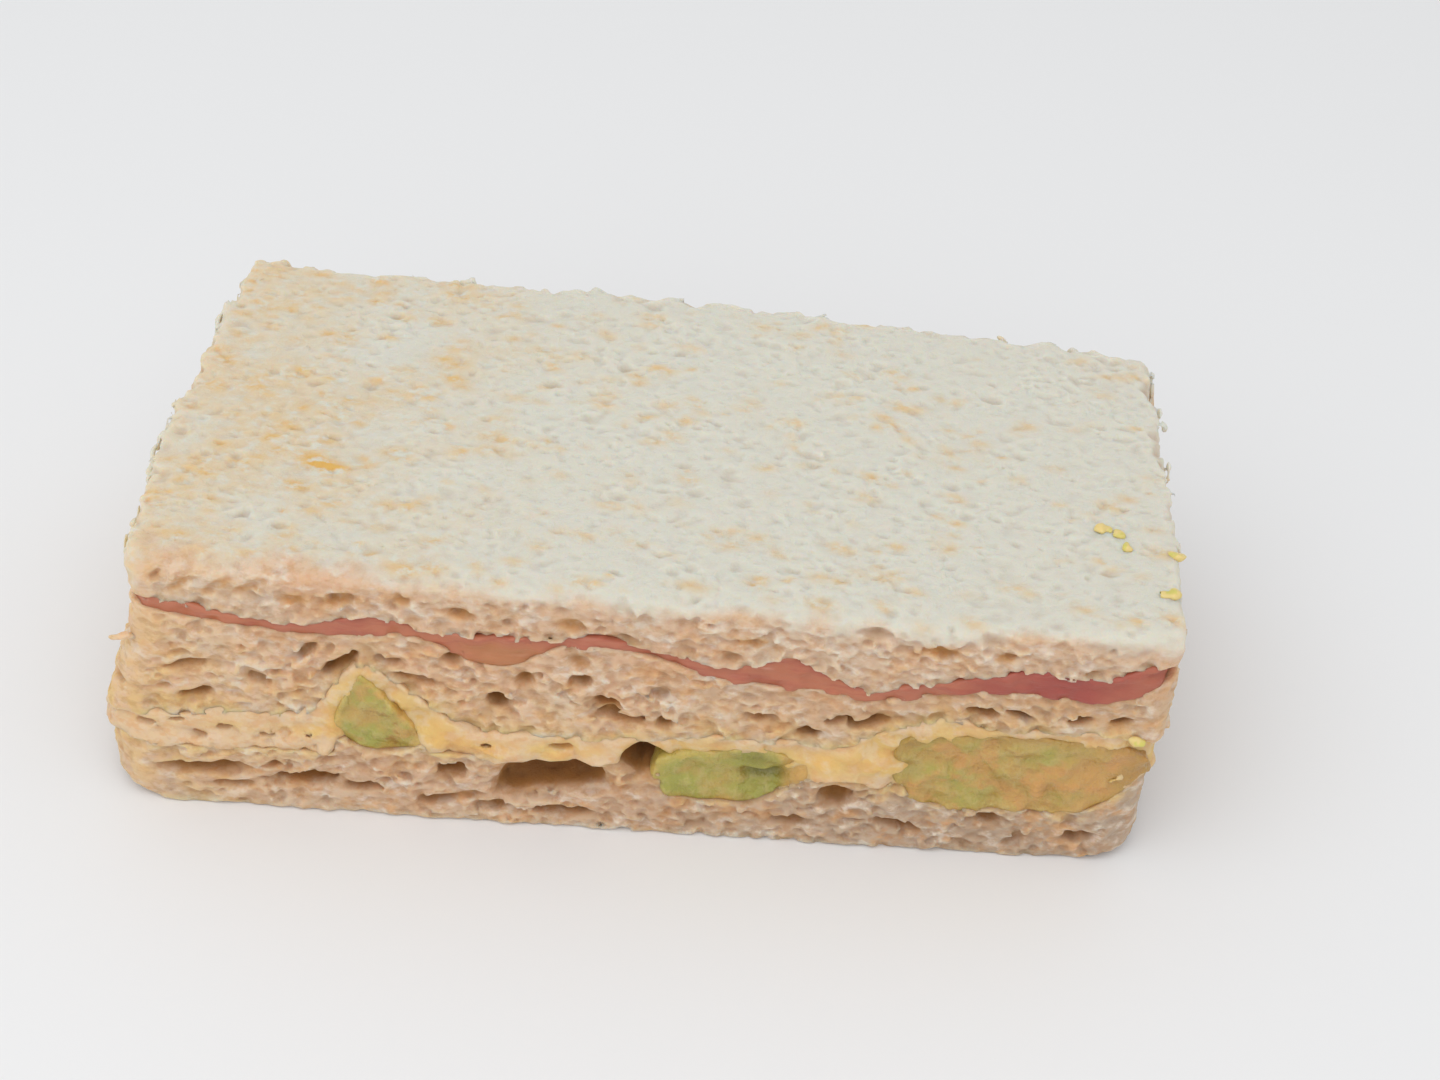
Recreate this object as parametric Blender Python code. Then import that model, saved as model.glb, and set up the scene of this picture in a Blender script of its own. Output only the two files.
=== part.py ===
"""Prosciutto and pineapple sandwich: one half of a three-slice white bread sandwich with the crusts cut off.

From the table up it is a bread slice, three lengths of pineapple, a creamy spread draped over them, a bread
slice, folded prosciutto and a bread slice. The front, at -Y, is the cut face that shows the fillings.

Every size here is in millimetres. Mesh points are moved to the middle of the footprint and turned into metres
as they reach Blender, so the origin lies under the middle of the sandwich, on the surface that it rests on.
"""

import bpy
import numpy as np
from mathutils import Vector, noise

MM = 0.001
FOOTPRINT_MIDDLE = np.array([-2.18, 0.02, 0.0])
GAP = 0.35
FLAT_WITHIN = 0.06

# Base colour and roughness of each material.
CRUMB = ((0.80, 0.76, 0.66), 0.90)
CREAM = ((0.85, 0.66, 0.36), 0.45)
HAM = ((0.55, 0.19, 0.17), 0.50)
FRUIT = ((0.62, 0.58, 0.16), 0.40)

# Mesh cells along the length, across the depth and up the side, and the triangles kept of them.
BREAD_CELLS, BREAD_TRIANGLES = (66, 36, 7), 2400
THIN_CELLS, SPREAD_TRIANGLES, HAM_TRIANGLES = (66, 36, 2), 1700, 1500
FRUIT_STATIONS, FRUIT_AROUND = 13, 22

# Plan of each layer: x of the left and right sides as (at the front, at the back, outward bow),
# and y of the front and back sides as (at the left, at the right, outward bow).
TOP_PLAN = {"left": (-52.2, -52.4, -1.6), "right": (52.3, 51.9, 0.5),
            "front": (-28.1, -27.3, -0.2), "back": (29.4, 25.6, 0.6), "corner": 2.2}
HAM_PLAN = {"left": (-52.0, -51.0, -1.2), "right": (51.4, 50.8, 0.3),
            "front": (-27.9, -27.1, -0.1), "back": (28.0, 24.8, 0.4), "corner": 2.8}
MIDDLE_PLAN = {"left": (-52.4, -52.6, -1.2), "right": (52.6, 52.0, 0.4),
               "front": (-28.4, -27.0, -0.2), "back": (28.6, 25.8, 0.4), "corner": 3.6}
SPREAD_PLAN = {"left": (-52.0, -52.0, -1.0), "right": (51.0, 50.6, 0.4),
               "front": (-28.2, -26.4, -0.1), "back": (28.0, 25.2, 0.3), "corner": 4.6}
BOTTOM_PLAN = {"left": (-52.4, -52.4, -1.0), "right": (51.6, 50.8, 0.4),
               "front": (-29.5, -27.0, -0.2), "back": (28.6, 25.6, 0.3), "corner": 5.6}

# The left end leans: this far further out low down than at the top, at the front and at the back.
LEFT_LEAN = (4.2, 2.4)
LEAN_STARTS_X = -40.0
LEAN_LOW_Z, LEAN_HIGH_Z = 9.0, 25.0

# The ends of the lowest slice curl up off the table: x where this starts, where it ends, and the rise.
CURL_LEFT = (-47.0, -54.0, 2.4)
CURL_RIGHT = (43.0, 52.0, 1.2)

# Heights of each layer's faces as (x, z) knots, along the front cut and along the back cut.
FLOOR_BREAD_TOP = {
    "front": ((-55, 7.9), (-32, 8.6), (-20, 9.4), (-8, 8.9), (-1.0, 8.5), (1.2, 4.7), (10, 4.6), (13, 6.3),
              (16.5, 9.2), (21, 9.8), (25, 8.2), (29, 6.0), (40, 6.6), (47, 7.9), (51, 11.6)),
    "back": ((-55, 9.0), (-42, 8.8), (-37, 7.4), (-25, 7.3), (-20, 8.8), (-6, 9.0), (2, 6.6), (17, 6.6),
             (24, 8.9), (31, 7.2), (44, 7.2), (49, 8.8), (52, 9.4))}
SPREAD_TOP = {
    "front": ((-55, 10.6), (-47, 11.4), (-42, 12.3), (-36, 12.8), (-29.2, 17.9), (-24, 15.0), (-19.6, 13.1),
              (-10, 12.0), (-2, 12.2), (8, 13.4), (14, 13.4), (20, 13.6), (25, 16.2), (30, 17.8), (37, 16.6),
              (46, 17.4), (52, 16.8)),
    "back": ((-55, 11.6), (-42, 12.6), (-32, 15.0), (-21, 12.8), (-8, 12.0), (2, 14.2), (14, 14.4),
             (23, 12.2), (32, 14.6), (42, 14.8), (52, 12.6))}
HAM_BOTTOM = {
    "front": ((-54, 25.6), (-45, 24.2), (-35, 23.1), (-22, 23.4), (-17.5, 21.2), (-13, 21.3), (-10, 23.3),
              (3.5, 22.6), (8.5, 21.2), (14, 20.7), (18, 20.8), (22, 20.0), (26, 20.6), (31, 21.9),
              (36, 22.2), (45, 22.1), (49, 23.4), (53, 25.4)),
    "back": ((-54, 23.4), (-38, 22.4), (-24, 23.0), (-8, 21.4), (4, 22.6), (18, 22.0), (30, 20.8),
             (42, 22.4), (53, 22.0))}
HAM_TOP = {
    "front": ((-54, 27.6), (-45, 25.6), (-34, 24.6), (-28, 26.1), (-23, 25.0), (-9, 24.9), (3.5, 24.0),
              (9, 23.2), (14, 24.8), (18, 22.8), (22, 21.3), (26, 22.3), (31, 23.4), (37, 25.2),
              (46, 25.3), (49.8, 27.0), (53, 27.4)),
    "back": ((-54, 25.0), (-38, 24.1), (-26, 25.6), (-18, 24.2), (-8, 23.3), (6, 24.4), (18, 24.4),
             (30, 22.4), (40, 25.0), (53, 23.8))}
TOP_BREAD_TOP = {
    "front": ((-54, 31.4), (-32, 30.9), (0, 30.8), (18, 30.2), (34, 30.0), (53, 30.9)),
    "back": ((-54, 31.2), (-30, 30.6), (-5, 30.9), (25, 30.2), (53, 29.2))}
KNIFE_ROUNDING, KNIFE_REACH = 1.1, 4.0

# Pineapple lengths, each pair of values at the front and at the back. Peak is where the piece is tallest,
# from -1 to 1 across it, taper is the share of height lost away from there, and square is 0 for a box, 1 for
# an oval.
FRUITS = {
    "pineapple_left": {"x": (-27.9, -31.0), "half": (5.4, 7.0), "low": (9.2, 7.7), "high": (16.7, 13.2),
                       "peak": -0.25, "taper": 0.72, "square": 0.80},
    "pineapple_centre": {"x": (8.9, 9.6), "half": (8.1, 7.8), "low": (4.9, 7.0), "high": (12.0, 12.6),
                         "peak": 0.30, "taper": 0.22, "square": 0.42},
    "pineapple_right": {"x": (38.0, 37.6), "half": (12.6, 8.8), "low": (6.4, 7.6), "high": (16.0, 13.0),
                        "peak": 0.10, "taper": 0.12, "square": 0.50},
}
FRUIT_INSET = 1.1
FRUIT_CLEARANCE = 1.3
FRUIT_WAVES = (0.10, 3.0)
SPREAD_LEAST, HAM_LEAST = 0.9, 1.1

# Rounding of the lower and upper edge of each slice, and of the thin layers.
BOTTOM_EDGES, MIDDLE_EDGES, TOP_EDGES, THIN_EDGES = (0.6, 0.5), (0.6, 0.5), (0.5, 0.9), (0.25, 0.25)
EDGE_SHARE = 0.3

# Unevenness as (height, lump size): torn crumb in the sides, the top face, and the edges of the thin layers.
TORN, TOP_FACE = (0.45, 1.9), (0.22, 2.6)
SPREAD_EDGE, HAM_EDGE = (0.5, 5.0), (0.6, 5.0)
EDGE_SUNK_SHARE = 0.35

# Scattered pores on each slice's sides: how many, and their least and greatest half length.
PORES_PER_SLICE, PORE_HALF = 130, (0.9, 2.4)

# Large pores that show in the front cut: layer, x, z, half length, half height and depth.
FRONT_PORES = (
    ("bread_bottom", -10.0, 6.8, 5.4, 2.0, 4.2), ("bread_bottom", -1.2, 8.2, 1.9, 1.8, 3.6),
    ("spread", -0.9, 10.4, 2.0, 2.2, 3.6), ("bread_bottom", -47.5, 4.7, 3.6, 0.8, 2.0),
    ("bread_bottom", -35.6, 4.2, 3.2, 1.0, 2.4), ("bread_bottom", -19.6, 6.6, 1.5, 1.0, 2.0),
    ("bread_bottom", -22.0, 2.2, 2.6, 0.8, 1.6), ("bread_bottom", -9.5, 1.7, 3.4, 0.7, 1.6),
    ("bread_bottom", 20.4, 5.8, 2.2, 1.3, 2.2), ("bread_bottom", 35.5, 4.6, 2.6, 0.8, 1.8),
    ("bread_middle", -31.0, 19.0, 2.6, 0.9, 1.9), ("bread_middle", -15.4, 15.6, 1.5, 1.3, 2.4),
    ("bread_middle", -4.4, 16.4, 1.6, 1.2, 2.2), ("bread_middle", -2.2, 14.6, 2.6, 0.8, 1.8),
    ("bread_middle", 33.6, 18.4, 2.0, 0.8, 1.8), ("bread_middle", 37.4, 18.3, 1.8, 0.7, 1.6),
    ("bread_middle", -46.0, 16.2, 2.2, 1.0, 1.6), ("bread_top", -6.0, 26.3, 1.4, 0.8, 1.4),
)


def smoothstep(share):
    share = np.clip(share, 0.0, 1.0)
    return share * share * (3.0 - 2.0 * share)


def smooth_line(x, knots):
    """The height at x of one smooth line through a few (x, z) knots."""
    along, height = np.array(knots, float).T
    slope = np.gradient(height, along)
    i = np.clip(np.searchsorted(along, x) - 1, 0, len(along) - 2)
    span = along[i + 1] - along[i]
    t = np.clip((x - along[i]) / span, 0.0, 1.0)
    rising = t * t * (3.0 - 2.0 * t)
    return (height[i] * (1.0 - rising) + height[i + 1] * rising
            + slope[i] * span * t * (1.0 - t) ** 2 - slope[i + 1] * span * t * t * (1.0 - t))


def depth_share(y):
    """0 at the front cut and 1 at the back cut."""
    return smoothstep((y - BOTTOM_PLAN["front"][0]) / (BOTTOM_PLAN["back"][0] - BOTTOM_PLAN["front"][0]))


def layer_height(face, x, y):
    """A layer's face: its front line changes into its back line over the depth."""
    share = depth_share(y)
    return smooth_line(x, face["front"]) * (1.0 - share) + smooth_line(x, face["back"]) * share


def grain(points, size, seed):
    """Smooth noise from about -1 to 1 at each point, with lumps of this size."""
    offset = Vector((seed * 17.3, seed * 5.1, seed * 9.7))
    return np.array([noise.noise(Vector(p) / size + offset) for p in np.asarray(points, float)])


def plan_points(plan, u, v, inset):
    """Points of a rounded four-sided plan, from shares u along its length and v across its depth."""
    long, deep = plan["right"][0] - plan["left"][0], plan["back"][0] - plan["front"][0]
    qx, qy = (u - 0.5) * long, (v - 0.5) * deep
    core_x = np.clip(qx, plan["corner"] - long / 2, long / 2 - plan["corner"])
    core_y = np.clip(qy, plan["corner"] - deep / 2, deep / 2 - plan["corner"])
    dx, dy = qx - core_x, qy - core_y
    reach = np.hypot(dx, dy)
    shrink = np.where(reach > 0, np.maximum(abs(dx), abs(dy)) / np.where(reach > 0, reach, 1.0), 1.0)
    u, v = (core_x + dx * shrink) / long + 0.5, (core_y + dy * shrink) / deep + 0.5

    def side(ends, share, inward):
        return ends[0] + (ends[1] - ends[0]) * share + ends[2] * 4.0 * share * (1.0 - share) + inward

    left, right = side(plan["left"], v, inset), side(plan["right"], v, -inset)
    front, back = side(plan["front"], u, inset), side(plan["back"], u, -inset)
    return left + (right - left) * u, front + (back - front) * v


def rim_steps(along, across):
    """Grid places (column, row) once round the rim, anticlockwise from above."""
    return ([(i, 0) for i in range(along)] + [(along, j) for j in range(across)]
            + [(i, across) for i in range(along, 0, -1)] + [(0, j) for j in range(across, 0, -1)])


def slab(plan, low, high, cells, edges):
    """Points and faces of a closed layer between two height functions, and the points of its walls by row."""
    cells_long, cells_deep, rows = cells
    round_low, round_high = edges
    u, v = np.meshgrid(np.linspace(0, 1, cells_long + 1), np.linspace(0, 1, cells_deep + 1))
    rim = rim_steps(cells_long, cells_deep)
    columns, lines = np.array(rim).T
    flat = np.arange(u.size).reshape(u.shape)
    x, y = plan_points(plan, u, v, round_low)
    points = [np.stack([x, y, low(x, y)], -1).reshape(-1, 3)]
    loops = [flat[lines, columns]]
    for row in range(1, rows):
        share = (1.0 - np.cos(np.pi * row / rows)) / 2.0
        inset = (round_low * np.clip(1.0 - share / EDGE_SHARE, 0, 1) ** 2
                 + round_high * np.clip(1.0 - (1.0 - share) / EDGE_SHARE, 0, 1) ** 2)
        x, y = plan_points(plan, u[lines, columns], v[lines, columns], inset)
        loops.append(sum(map(len, points)) + np.arange(len(rim)))
        points.append(np.stack([x, y, low(x, y) * (1.0 - share) + high(x, y) * share], -1))
    x, y = plan_points(plan, u, v, round_high)
    top = sum(map(len, points)) + flat
    points.append(np.stack([x, y, high(x, y)], -1).reshape(-1, 3))
    loops.append(top[lines, columns])
    faces = []
    for j in range(cells_deep):
        for i in range(cells_long):
            faces.append((flat[j, i], flat[j + 1, i], flat[j + 1, i + 1], flat[j, i + 1]))
            faces.append((top[j, i], top[j, i + 1], top[j + 1, i + 1], top[j + 1, i]))
    for lower, upper in zip(loops, loops[1:]):
        for k in range(len(rim)):
            after = (k + 1) % len(rim)
            faces.append((lower[k], lower[after], upper[after], upper[k]))
    return np.concatenate(points), faces, np.array(loops)


def outward(points, loops):
    """The level direction that faces out of the wall at each wall point."""
    loop = points[loops[len(loops) // 2], :2]
    along = np.roll(loop, -1, 0) - np.roll(loop, 1, 0)
    along /= np.linalg.norm(along, axis=1)[:, None]
    return np.stack([along[:, 1], -along[:, 0], np.zeros(len(loop))], -1)


def crumb_pores(name, points, loops, seed, scattered):
    """Depth of the pores at each wall point: the large ones of the front cut, then a seeded scatter."""
    draw = np.random.default_rng(seed)
    wall = points[loops]
    middle = wall[len(wall) // 2]
    front = middle[middle[:, 1] < 0]
    pores = [(x, front[np.argmin(abs(front[:, 0] - x)), 1], z, half, half_height, deep)
             for owner, x, z, half, half_height, deep in FRONT_PORES if owner == name]
    for _ in range(scattered):
        k, share = draw.integers(len(middle)), draw.uniform(0.12, 0.88)
        half = draw.uniform(*PORE_HALF)
        z = wall[0, k, 2] * (1.0 - share) + wall[-1, k, 2] * share
        pores.append((middle[k, 0], middle[k, 1], z, half, half * draw.uniform(0.35, 0.7), half * 0.6))
    depth = np.zeros(wall.shape[:2])
    for x, y, z, half, half_height, deep in pores:
        far = (((wall[..., 0] - x) ** 2 + (wall[..., 1] - y) ** 2) / half ** 2
               + ((wall[..., 2] - z) / half_height) ** 2)
        depth = np.maximum(depth, deep * np.sqrt(np.clip(1.0 - far, 0.0, 1.0)))
    return depth


def lean(points):
    """Carries the left end further out the lower it is."""
    x, y, z = points.T
    far = LEFT_LEAN[0] + (LEFT_LEAN[1] - LEFT_LEAN[0]) * depth_share(y)
    near_end = smoothstep((LEAN_STARTS_X - x) / (LEAN_STARTS_X - TOP_PLAN["left"][0]))
    low_down = 1.0 - smoothstep((z - LEAN_LOW_Z) / (LEAN_HIGH_Z - LEAN_LOW_Z))
    return np.stack([x - far * near_end * low_down, y, z], -1)


def blender_object(name, points, faces, finish):
    mesh = bpy.data.meshes.new(name)
    places = (lean(np.asarray(points, float)) - FOOTPRINT_MIDDLE) * MM
    mesh.from_pydata(places.tolist(), [], [tuple(int(i) for i in face) for face in faces])
    mesh.shade_smooth()
    made = bpy.data.objects.new(name, mesh)
    bpy.context.scene.collection.objects.link(made)
    material = bpy.data.materials.new(name)
    material.use_nodes = True
    shader = material.node_tree.nodes["Principled BSDF"]
    shader.inputs["Base Color"].default_value = (*finish[0], 1.0)
    shader.inputs["Roughness"].default_value = finish[1]
    shader.inputs["Metallic"].default_value = 0.0
    mesh.materials.append(material)
    return made


def thin_out(made, triangles):
    """Leaves about this many triangles, most where the surface bends, and makes the resting face flat."""
    made.data.calc_loop_triangles()
    fewer = made.modifiers.new("Fewer faces", "DECIMATE")
    fewer.ratio = triangles / len(made.data.loop_triangles)
    fewer.use_collapse_triangulate = True
    thinned = made.evaluated_get(bpy.context.evaluated_depsgraph_get())
    made.data = bpy.data.meshes.new_from_object(thinned)
    made.modifiers.clear()
    for vertex in made.data.vertices:
        if abs(vertex.co.z) < FLAT_WITHIN * MM:
            vertex.co.z = 0.0


def cut_faces(plan, x):
    """The y of a layer's front and back sides at x, leaving their slight bow out."""
    along = (x - plan["left"][0]) / (plan["right"][0] - plan["left"][0])
    return [plan[side][0] + (plan[side][1] - plan[side][0]) * along for side in ("front", "back")]


def fruit_sides(fruit, share):
    """Middle, half width, lowest and highest z of a pineapple length at a share of its way to the back."""
    return [fruit[key][0] + (fruit[key][1] - fruit[key][0]) * share for key in ("x", "half", "low", "high")]


def fruit_height(fruit, across):
    """Share of the fruit's full height at a place across it, from -1 to 1: it tapers away from its peak."""
    away = abs(across - fruit["peak"]) / (1.0 + abs(fruit["peak"]))
    return 1.0 - fruit["taper"] * np.clip(away, 0.0, 1.0)


def fruit_cover(x, y):
    """The lowest height that clears every pineapple length, or 0 away from them."""
    cover = np.zeros(np.broadcast(x, y).shape)
    for fruit in FRUITS.values():
        middle, half, low, high = fruit_sides(fruit, depth_share(y))
        across = (x - middle) / (half + FRUIT_CLEARANCE)
        dome = np.clip(1.0 - abs(across) ** (2.0 / fruit["square"]), 0.0, 1.0) ** (fruit["square"] / 2.0)
        tall = low + (high - low) * fruit_height(fruit, np.clip(across, -1, 1)) + GAP * 1.6
        cover = np.maximum(cover, np.where(dome > 0, low + (tall - low) * dome ** 0.5, 0.0))
    return cover


def bottom_bread_low(x, y):
    """Flat where it rests, curled up a little at both ends."""
    rise = 0.0 * y
    for starts, ends, height in (CURL_LEFT, CURL_RIGHT):
        rise = rise + height * smoothstep((x - starts) / (ends - starts))
    return rise


def bottom_bread_high(x, y):
    return layer_height(FLOOR_BREAD_TOP, x, y)


def spread_low(x, y):
    return np.maximum(bottom_bread_high(x, y) + GAP, fruit_cover(x, y))


def spread_high(x, y):
    return np.maximum(layer_height(SPREAD_TOP, x, y), spread_low(x, y) + SPREAD_LEAST)


def middle_bread_low(x, y):
    return spread_high(x, y) + GAP


def middle_bread_high(x, y):
    return layer_height(HAM_BOTTOM, x, y) - GAP


def ham_low(x, y):
    return layer_height(HAM_BOTTOM, x, y)


def ham_high(x, y):
    return np.maximum(layer_height(HAM_TOP, x, y), ham_low(x, y) + HAM_LEAST)


def top_bread_low(x, y):
    return ham_high(x, y) + GAP


def top_bread_high(x, y):
    """The uneven top face, pressed down along the front where the knife went in."""
    pressed = np.clip(1.0 - (y - TOP_PLAN["front"][0]) / KNIFE_REACH, 0.0, 1.0) ** 2
    flat_points = np.stack([x, y, 0.0 * x], -1)
    uneven = TOP_FACE[0] * grain(flat_points.reshape(-1, 3), TOP_FACE[1], 14).reshape(x.shape)
    return layer_height(TOP_BREAD_TOP, x, y) - KNIFE_ROUNDING * pressed + uneven


def bread_slice(name, plan, low, high, seed, edges):
    """A slice with torn pores in its cut sides."""
    points, faces, loops = slab(plan, low, high, BREAD_CELLS, edges)
    wall = points[loops]
    ragged = TORN[0] * grain(wall.reshape(-1, 3), TORN[1], seed).reshape(wall.shape[:2])
    sunk = crumb_pores(name, points, loops, seed, PORES_PER_SLICE) + ragged
    sunk[[0, -1]] *= EDGE_SUNK_SHARE
    points[loops.reshape(-1)] -= (outward(points, loops)[None] * sunk[..., None]).reshape(-1, 3)
    thin_out(blender_object(name, points, faces, CRUMB), BREAD_TRIANGLES)


def thin_layer(name, plan, low, high, edge_waves, finish, triangles):
    """The ham or the spread: a thin layer whose edge wanders in and out of the cut."""
    points, faces, loops = slab(plan, low, high, THIN_CELLS, THIN_EDGES)
    height, size = edge_waves
    edge = height * (0.5 + grain(points[loops[0]] * (1, 1, 0), size, len(name)))
    sunk = edge[None] + crumb_pores(name, points, loops, len(name), 0)
    points[loops.reshape(-1)] -= (outward(points, loops)[None] * sunk[..., None]).reshape(-1, 3)
    thin_out(blender_object(name, points, faces, finish), triangles)


def pineapple_length(name, fruit):
    """One pineapple piece from the front cut to the back cut, with its cut ends flat."""
    rings = []
    around = FRUIT_AROUND
    angles = np.linspace(0, 2 * np.pi, around, endpoint=False)
    for station in range(FRUIT_STATIONS):
        way = station / (FRUIT_STATIONS - 1)
        middle = fruit_sides(fruit, way)[0]
        front, back = cut_faces(BOTTOM_PLAN, middle)
        y = front + FRUIT_INSET + (back - front - 2.0 * FRUIT_INSET) * way
        middle, half, low, high = fruit_sides(fruit, depth_share(y))
        across = np.sign(np.cos(angles)) * abs(np.cos(angles)) ** fruit["square"]
        upward = np.sign(np.sin(angles)) * abs(np.sin(angles)) ** fruit["square"]
        x = middle + half * across
        top = low + (high - low) * fruit_height(fruit, across)
        floor = np.maximum(bottom_bread_high(x, y) + GAP, low)
        z = (top + floor) / 2 + (top - floor) / 2 * upward
        rings.append(np.stack([x, np.full(around, y), z], -1))
    points = np.concatenate(rings)
    points[:, 2] += FRUIT_WAVES[0] * grain(points, FRUIT_WAVES[1], around)
    faces = [tuple(range(around)), tuple(range(len(points) - 1, len(points) - around - 1, -1))]
    for station in range(FRUIT_STATIONS - 1):
        for k in range(around):
            here, after = station * around + k, station * around + (k + 1) % around
            faces.append((here, here + around, after + around, after))
    blender_object(name, points, faces, FRUIT)


def main():
    for old in list(bpy.data.objects):
        bpy.data.objects.remove(old)
    bread_slice("bread_bottom", BOTTOM_PLAN, bottom_bread_low, bottom_bread_high, 11, BOTTOM_EDGES)
    for name, fruit in FRUITS.items():
        pineapple_length(name, fruit)
    thin_layer("spread", SPREAD_PLAN, spread_low, spread_high, SPREAD_EDGE, CREAM, SPREAD_TRIANGLES)
    bread_slice("bread_middle", MIDDLE_PLAN, middle_bread_low, middle_bread_high, 12, MIDDLE_EDGES)
    thin_layer("prosciutto", HAM_PLAN, ham_low, ham_high, HAM_EDGE, HAM, HAM_TRIANGLES)
    bread_slice("bread_top", TOP_PLAN, top_bread_low, top_bread_high, 13, TOP_EDGES)


main()
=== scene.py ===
"""Dresses the prosciutto and pineapple sandwich: open crumb, moist ham, creamy spread and fruit.

Sizes are in millimetres, in the sandwich's own plan. Every piece is a field, negative inside, that is sampled
on a fine grid and turned into a mesh. Pores are ellipsoids taken out of the bread, so they overlap, undercut
and tear at the edges as real crumb does.
"""

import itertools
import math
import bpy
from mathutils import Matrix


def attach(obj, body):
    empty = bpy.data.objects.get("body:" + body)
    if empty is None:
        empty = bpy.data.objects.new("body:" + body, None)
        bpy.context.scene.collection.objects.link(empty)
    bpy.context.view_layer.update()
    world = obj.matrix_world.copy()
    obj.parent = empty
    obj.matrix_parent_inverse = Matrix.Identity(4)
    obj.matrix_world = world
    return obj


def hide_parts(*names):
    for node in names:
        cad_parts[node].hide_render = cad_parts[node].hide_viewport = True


bl_info = {
    "name": "Prosciutto and pineapple sandwich",
    "version": (1, 0, 0),
    "blender": (4, 5, 0),
    "location": "View3D > Sidebar > Sandwich",
    "description": "Builds the crumb, ham, spread and fruit of a crustless sandwich over its solid model",
    "category": "Object",
}

import bpy
import numpy as np
from bpy.props import (EnumProperty, FloatProperty, FloatVectorProperty, IntProperty, PointerProperty)
from mathutils import Matrix, Vector

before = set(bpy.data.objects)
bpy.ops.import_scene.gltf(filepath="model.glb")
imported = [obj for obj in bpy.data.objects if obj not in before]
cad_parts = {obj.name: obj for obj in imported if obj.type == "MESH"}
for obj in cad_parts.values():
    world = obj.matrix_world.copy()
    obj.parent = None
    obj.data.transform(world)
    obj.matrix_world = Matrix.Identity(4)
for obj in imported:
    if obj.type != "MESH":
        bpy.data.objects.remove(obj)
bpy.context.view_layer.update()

MM = 0.001
BODY = "root"
SLICES = ("bottom", "middle", "top")

# This point of the plan comes to the frame's origin.
FOOTPRINT_MIDDLE = np.array([-2.18, 0.02, 0.0])

# Spacing of the sample points of each piece but the bread, and the triangles kept of it.
HAM_STEP, SPREAD_STEP, FRUIT_STEP, BIT_STEP = 0.28, 0.25, 0.25, 0.1
HAM_TRIANGLES, SPREAD_TRIANGLES, FRUIT_TRIANGLES, BIT_TRIANGLES = 70000, 90000, 26000, 12000

# How far the faces of the spread and of the ham lie inside the bread next to them, so that no slit shows.
SPREAD_BURIED, HAM_BURIED = 0.35, 0.28


def plan_of(left, right, front, back, corner):
    return {"left": left, "right": right, "front": front, "back": back, "corner": corner}


# Plan of each layer: x of the left and right sides as (at the front, at the back, outward bow), y of the front
# and back sides as (at the left, at the right, outward bow), and the rounding of its corners.
TOP_PLAN = plan_of((-52.2, -52.4, -1.6), (52.3, 51.9, 0.5), (-28.1, -27.3, -0.2), (29.4, 25.6, 0.6), 2.2)
HAM_PLAN = plan_of((-52.0, -51.0, -1.2), (51.4, 50.8, 0.3), (-27.9, -27.1, -0.1), (28.0, 24.8, 0.4), 2.8)
MIDDLE_PLAN = plan_of((-52.4, -52.6, -1.2), (52.6, 52.0, 0.4), (-28.4, -27.0, -0.2), (28.6, 25.8, 0.4), 3.6)
SPREAD_PLAN = plan_of((-52.0, -52.0, -1.0), (51.0, 50.6, 0.4), (-28.2, -26.4, -0.1), (28.0, 25.2, 0.3), 4.6)
BOTTOM_PLAN = plan_of((-52.4, -52.4, -1.0), (51.6, 50.8, 0.4), (-29.5, -27.0, -0.2), (28.6, 25.6, 0.3), 5.6)

# The left end leans: this far further out low down than at the top, at the front and at the back. The lean
# starts at this x and grows from the higher to the lower of these heights.
LEFT_LEAN = (4.2, 2.4)
LEAN_STARTS_X = -40.0
LEAN_LOW_Z, LEAN_HIGH_Z = 9.0, 25.0

# The ends of the lowest slice curl up off the table: x where this starts, where it ends, and the rise.
CURL_LEFT = (-47.0, -54.0, 2.4)
CURL_RIGHT = (43.0, 52.0, 1.2)

# Heights of each layer's faces as (x, z) knots, along the front cut and along the back cut.
FLOOR_BREAD_TOP = {
    "front": ((-55, 7.9), (-32, 8.6), (-20, 9.4), (-8, 8.9), (-1.0, 8.5), (1.2, 4.7), (10, 4.6), (13, 6.3),
              (16.5, 9.2), (21, 9.8), (25, 8.2), (29, 6.0), (40, 6.6), (47, 7.9), (51, 11.6)),
    "back": ((-55, 9.0), (-42, 8.8), (-37, 7.4), (-25, 7.3), (-20, 8.8), (-6, 9.0), (2, 6.6), (17, 6.6),
             (24, 8.9), (31, 7.2), (44, 7.2), (49, 8.8), (52, 9.4))}
SPREAD_TOP = {
    "front": ((-55, 10.6), (-47, 11.4), (-42, 12.3), (-35, 12.8), (-28.8, 19.6), (-23.6, 15.8), (-19.6, 13.1),
              (-10, 12.0), (-2, 12.2), (8, 13.4), (14, 13.4), (20, 13.6), (25, 16.2), (30, 17.8), (37, 16.6),
              (46, 17.4), (52, 16.8)),
    "back": ((-55, 11.6), (-42, 12.6), (-32, 15.0), (-21, 12.8), (-8, 12.0), (2, 14.2), (14, 14.4),
             (23, 12.2), (32, 14.6), (42, 14.8), (52, 12.6))}
HAM_BOTTOM = {
    "front": ((-54, 25.6), (-45, 24.2), (-35, 23.1), (-22, 23.4), (-17.5, 21.2), (-13, 21.3), (-10, 23.3),
              (3.5, 22.6), (8.5, 21.2), (14, 20.7), (18, 20.8), (22, 20.0), (26, 20.6), (31, 21.9),
              (36, 22.2), (45, 22.1), (49, 23.4), (53, 25.4)),
    "back": ((-54, 23.4), (-38, 22.4), (-24, 23.0), (-8, 21.4), (4, 22.6), (18, 22.0), (30, 20.8),
             (42, 22.4), (53, 22.0))}
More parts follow.
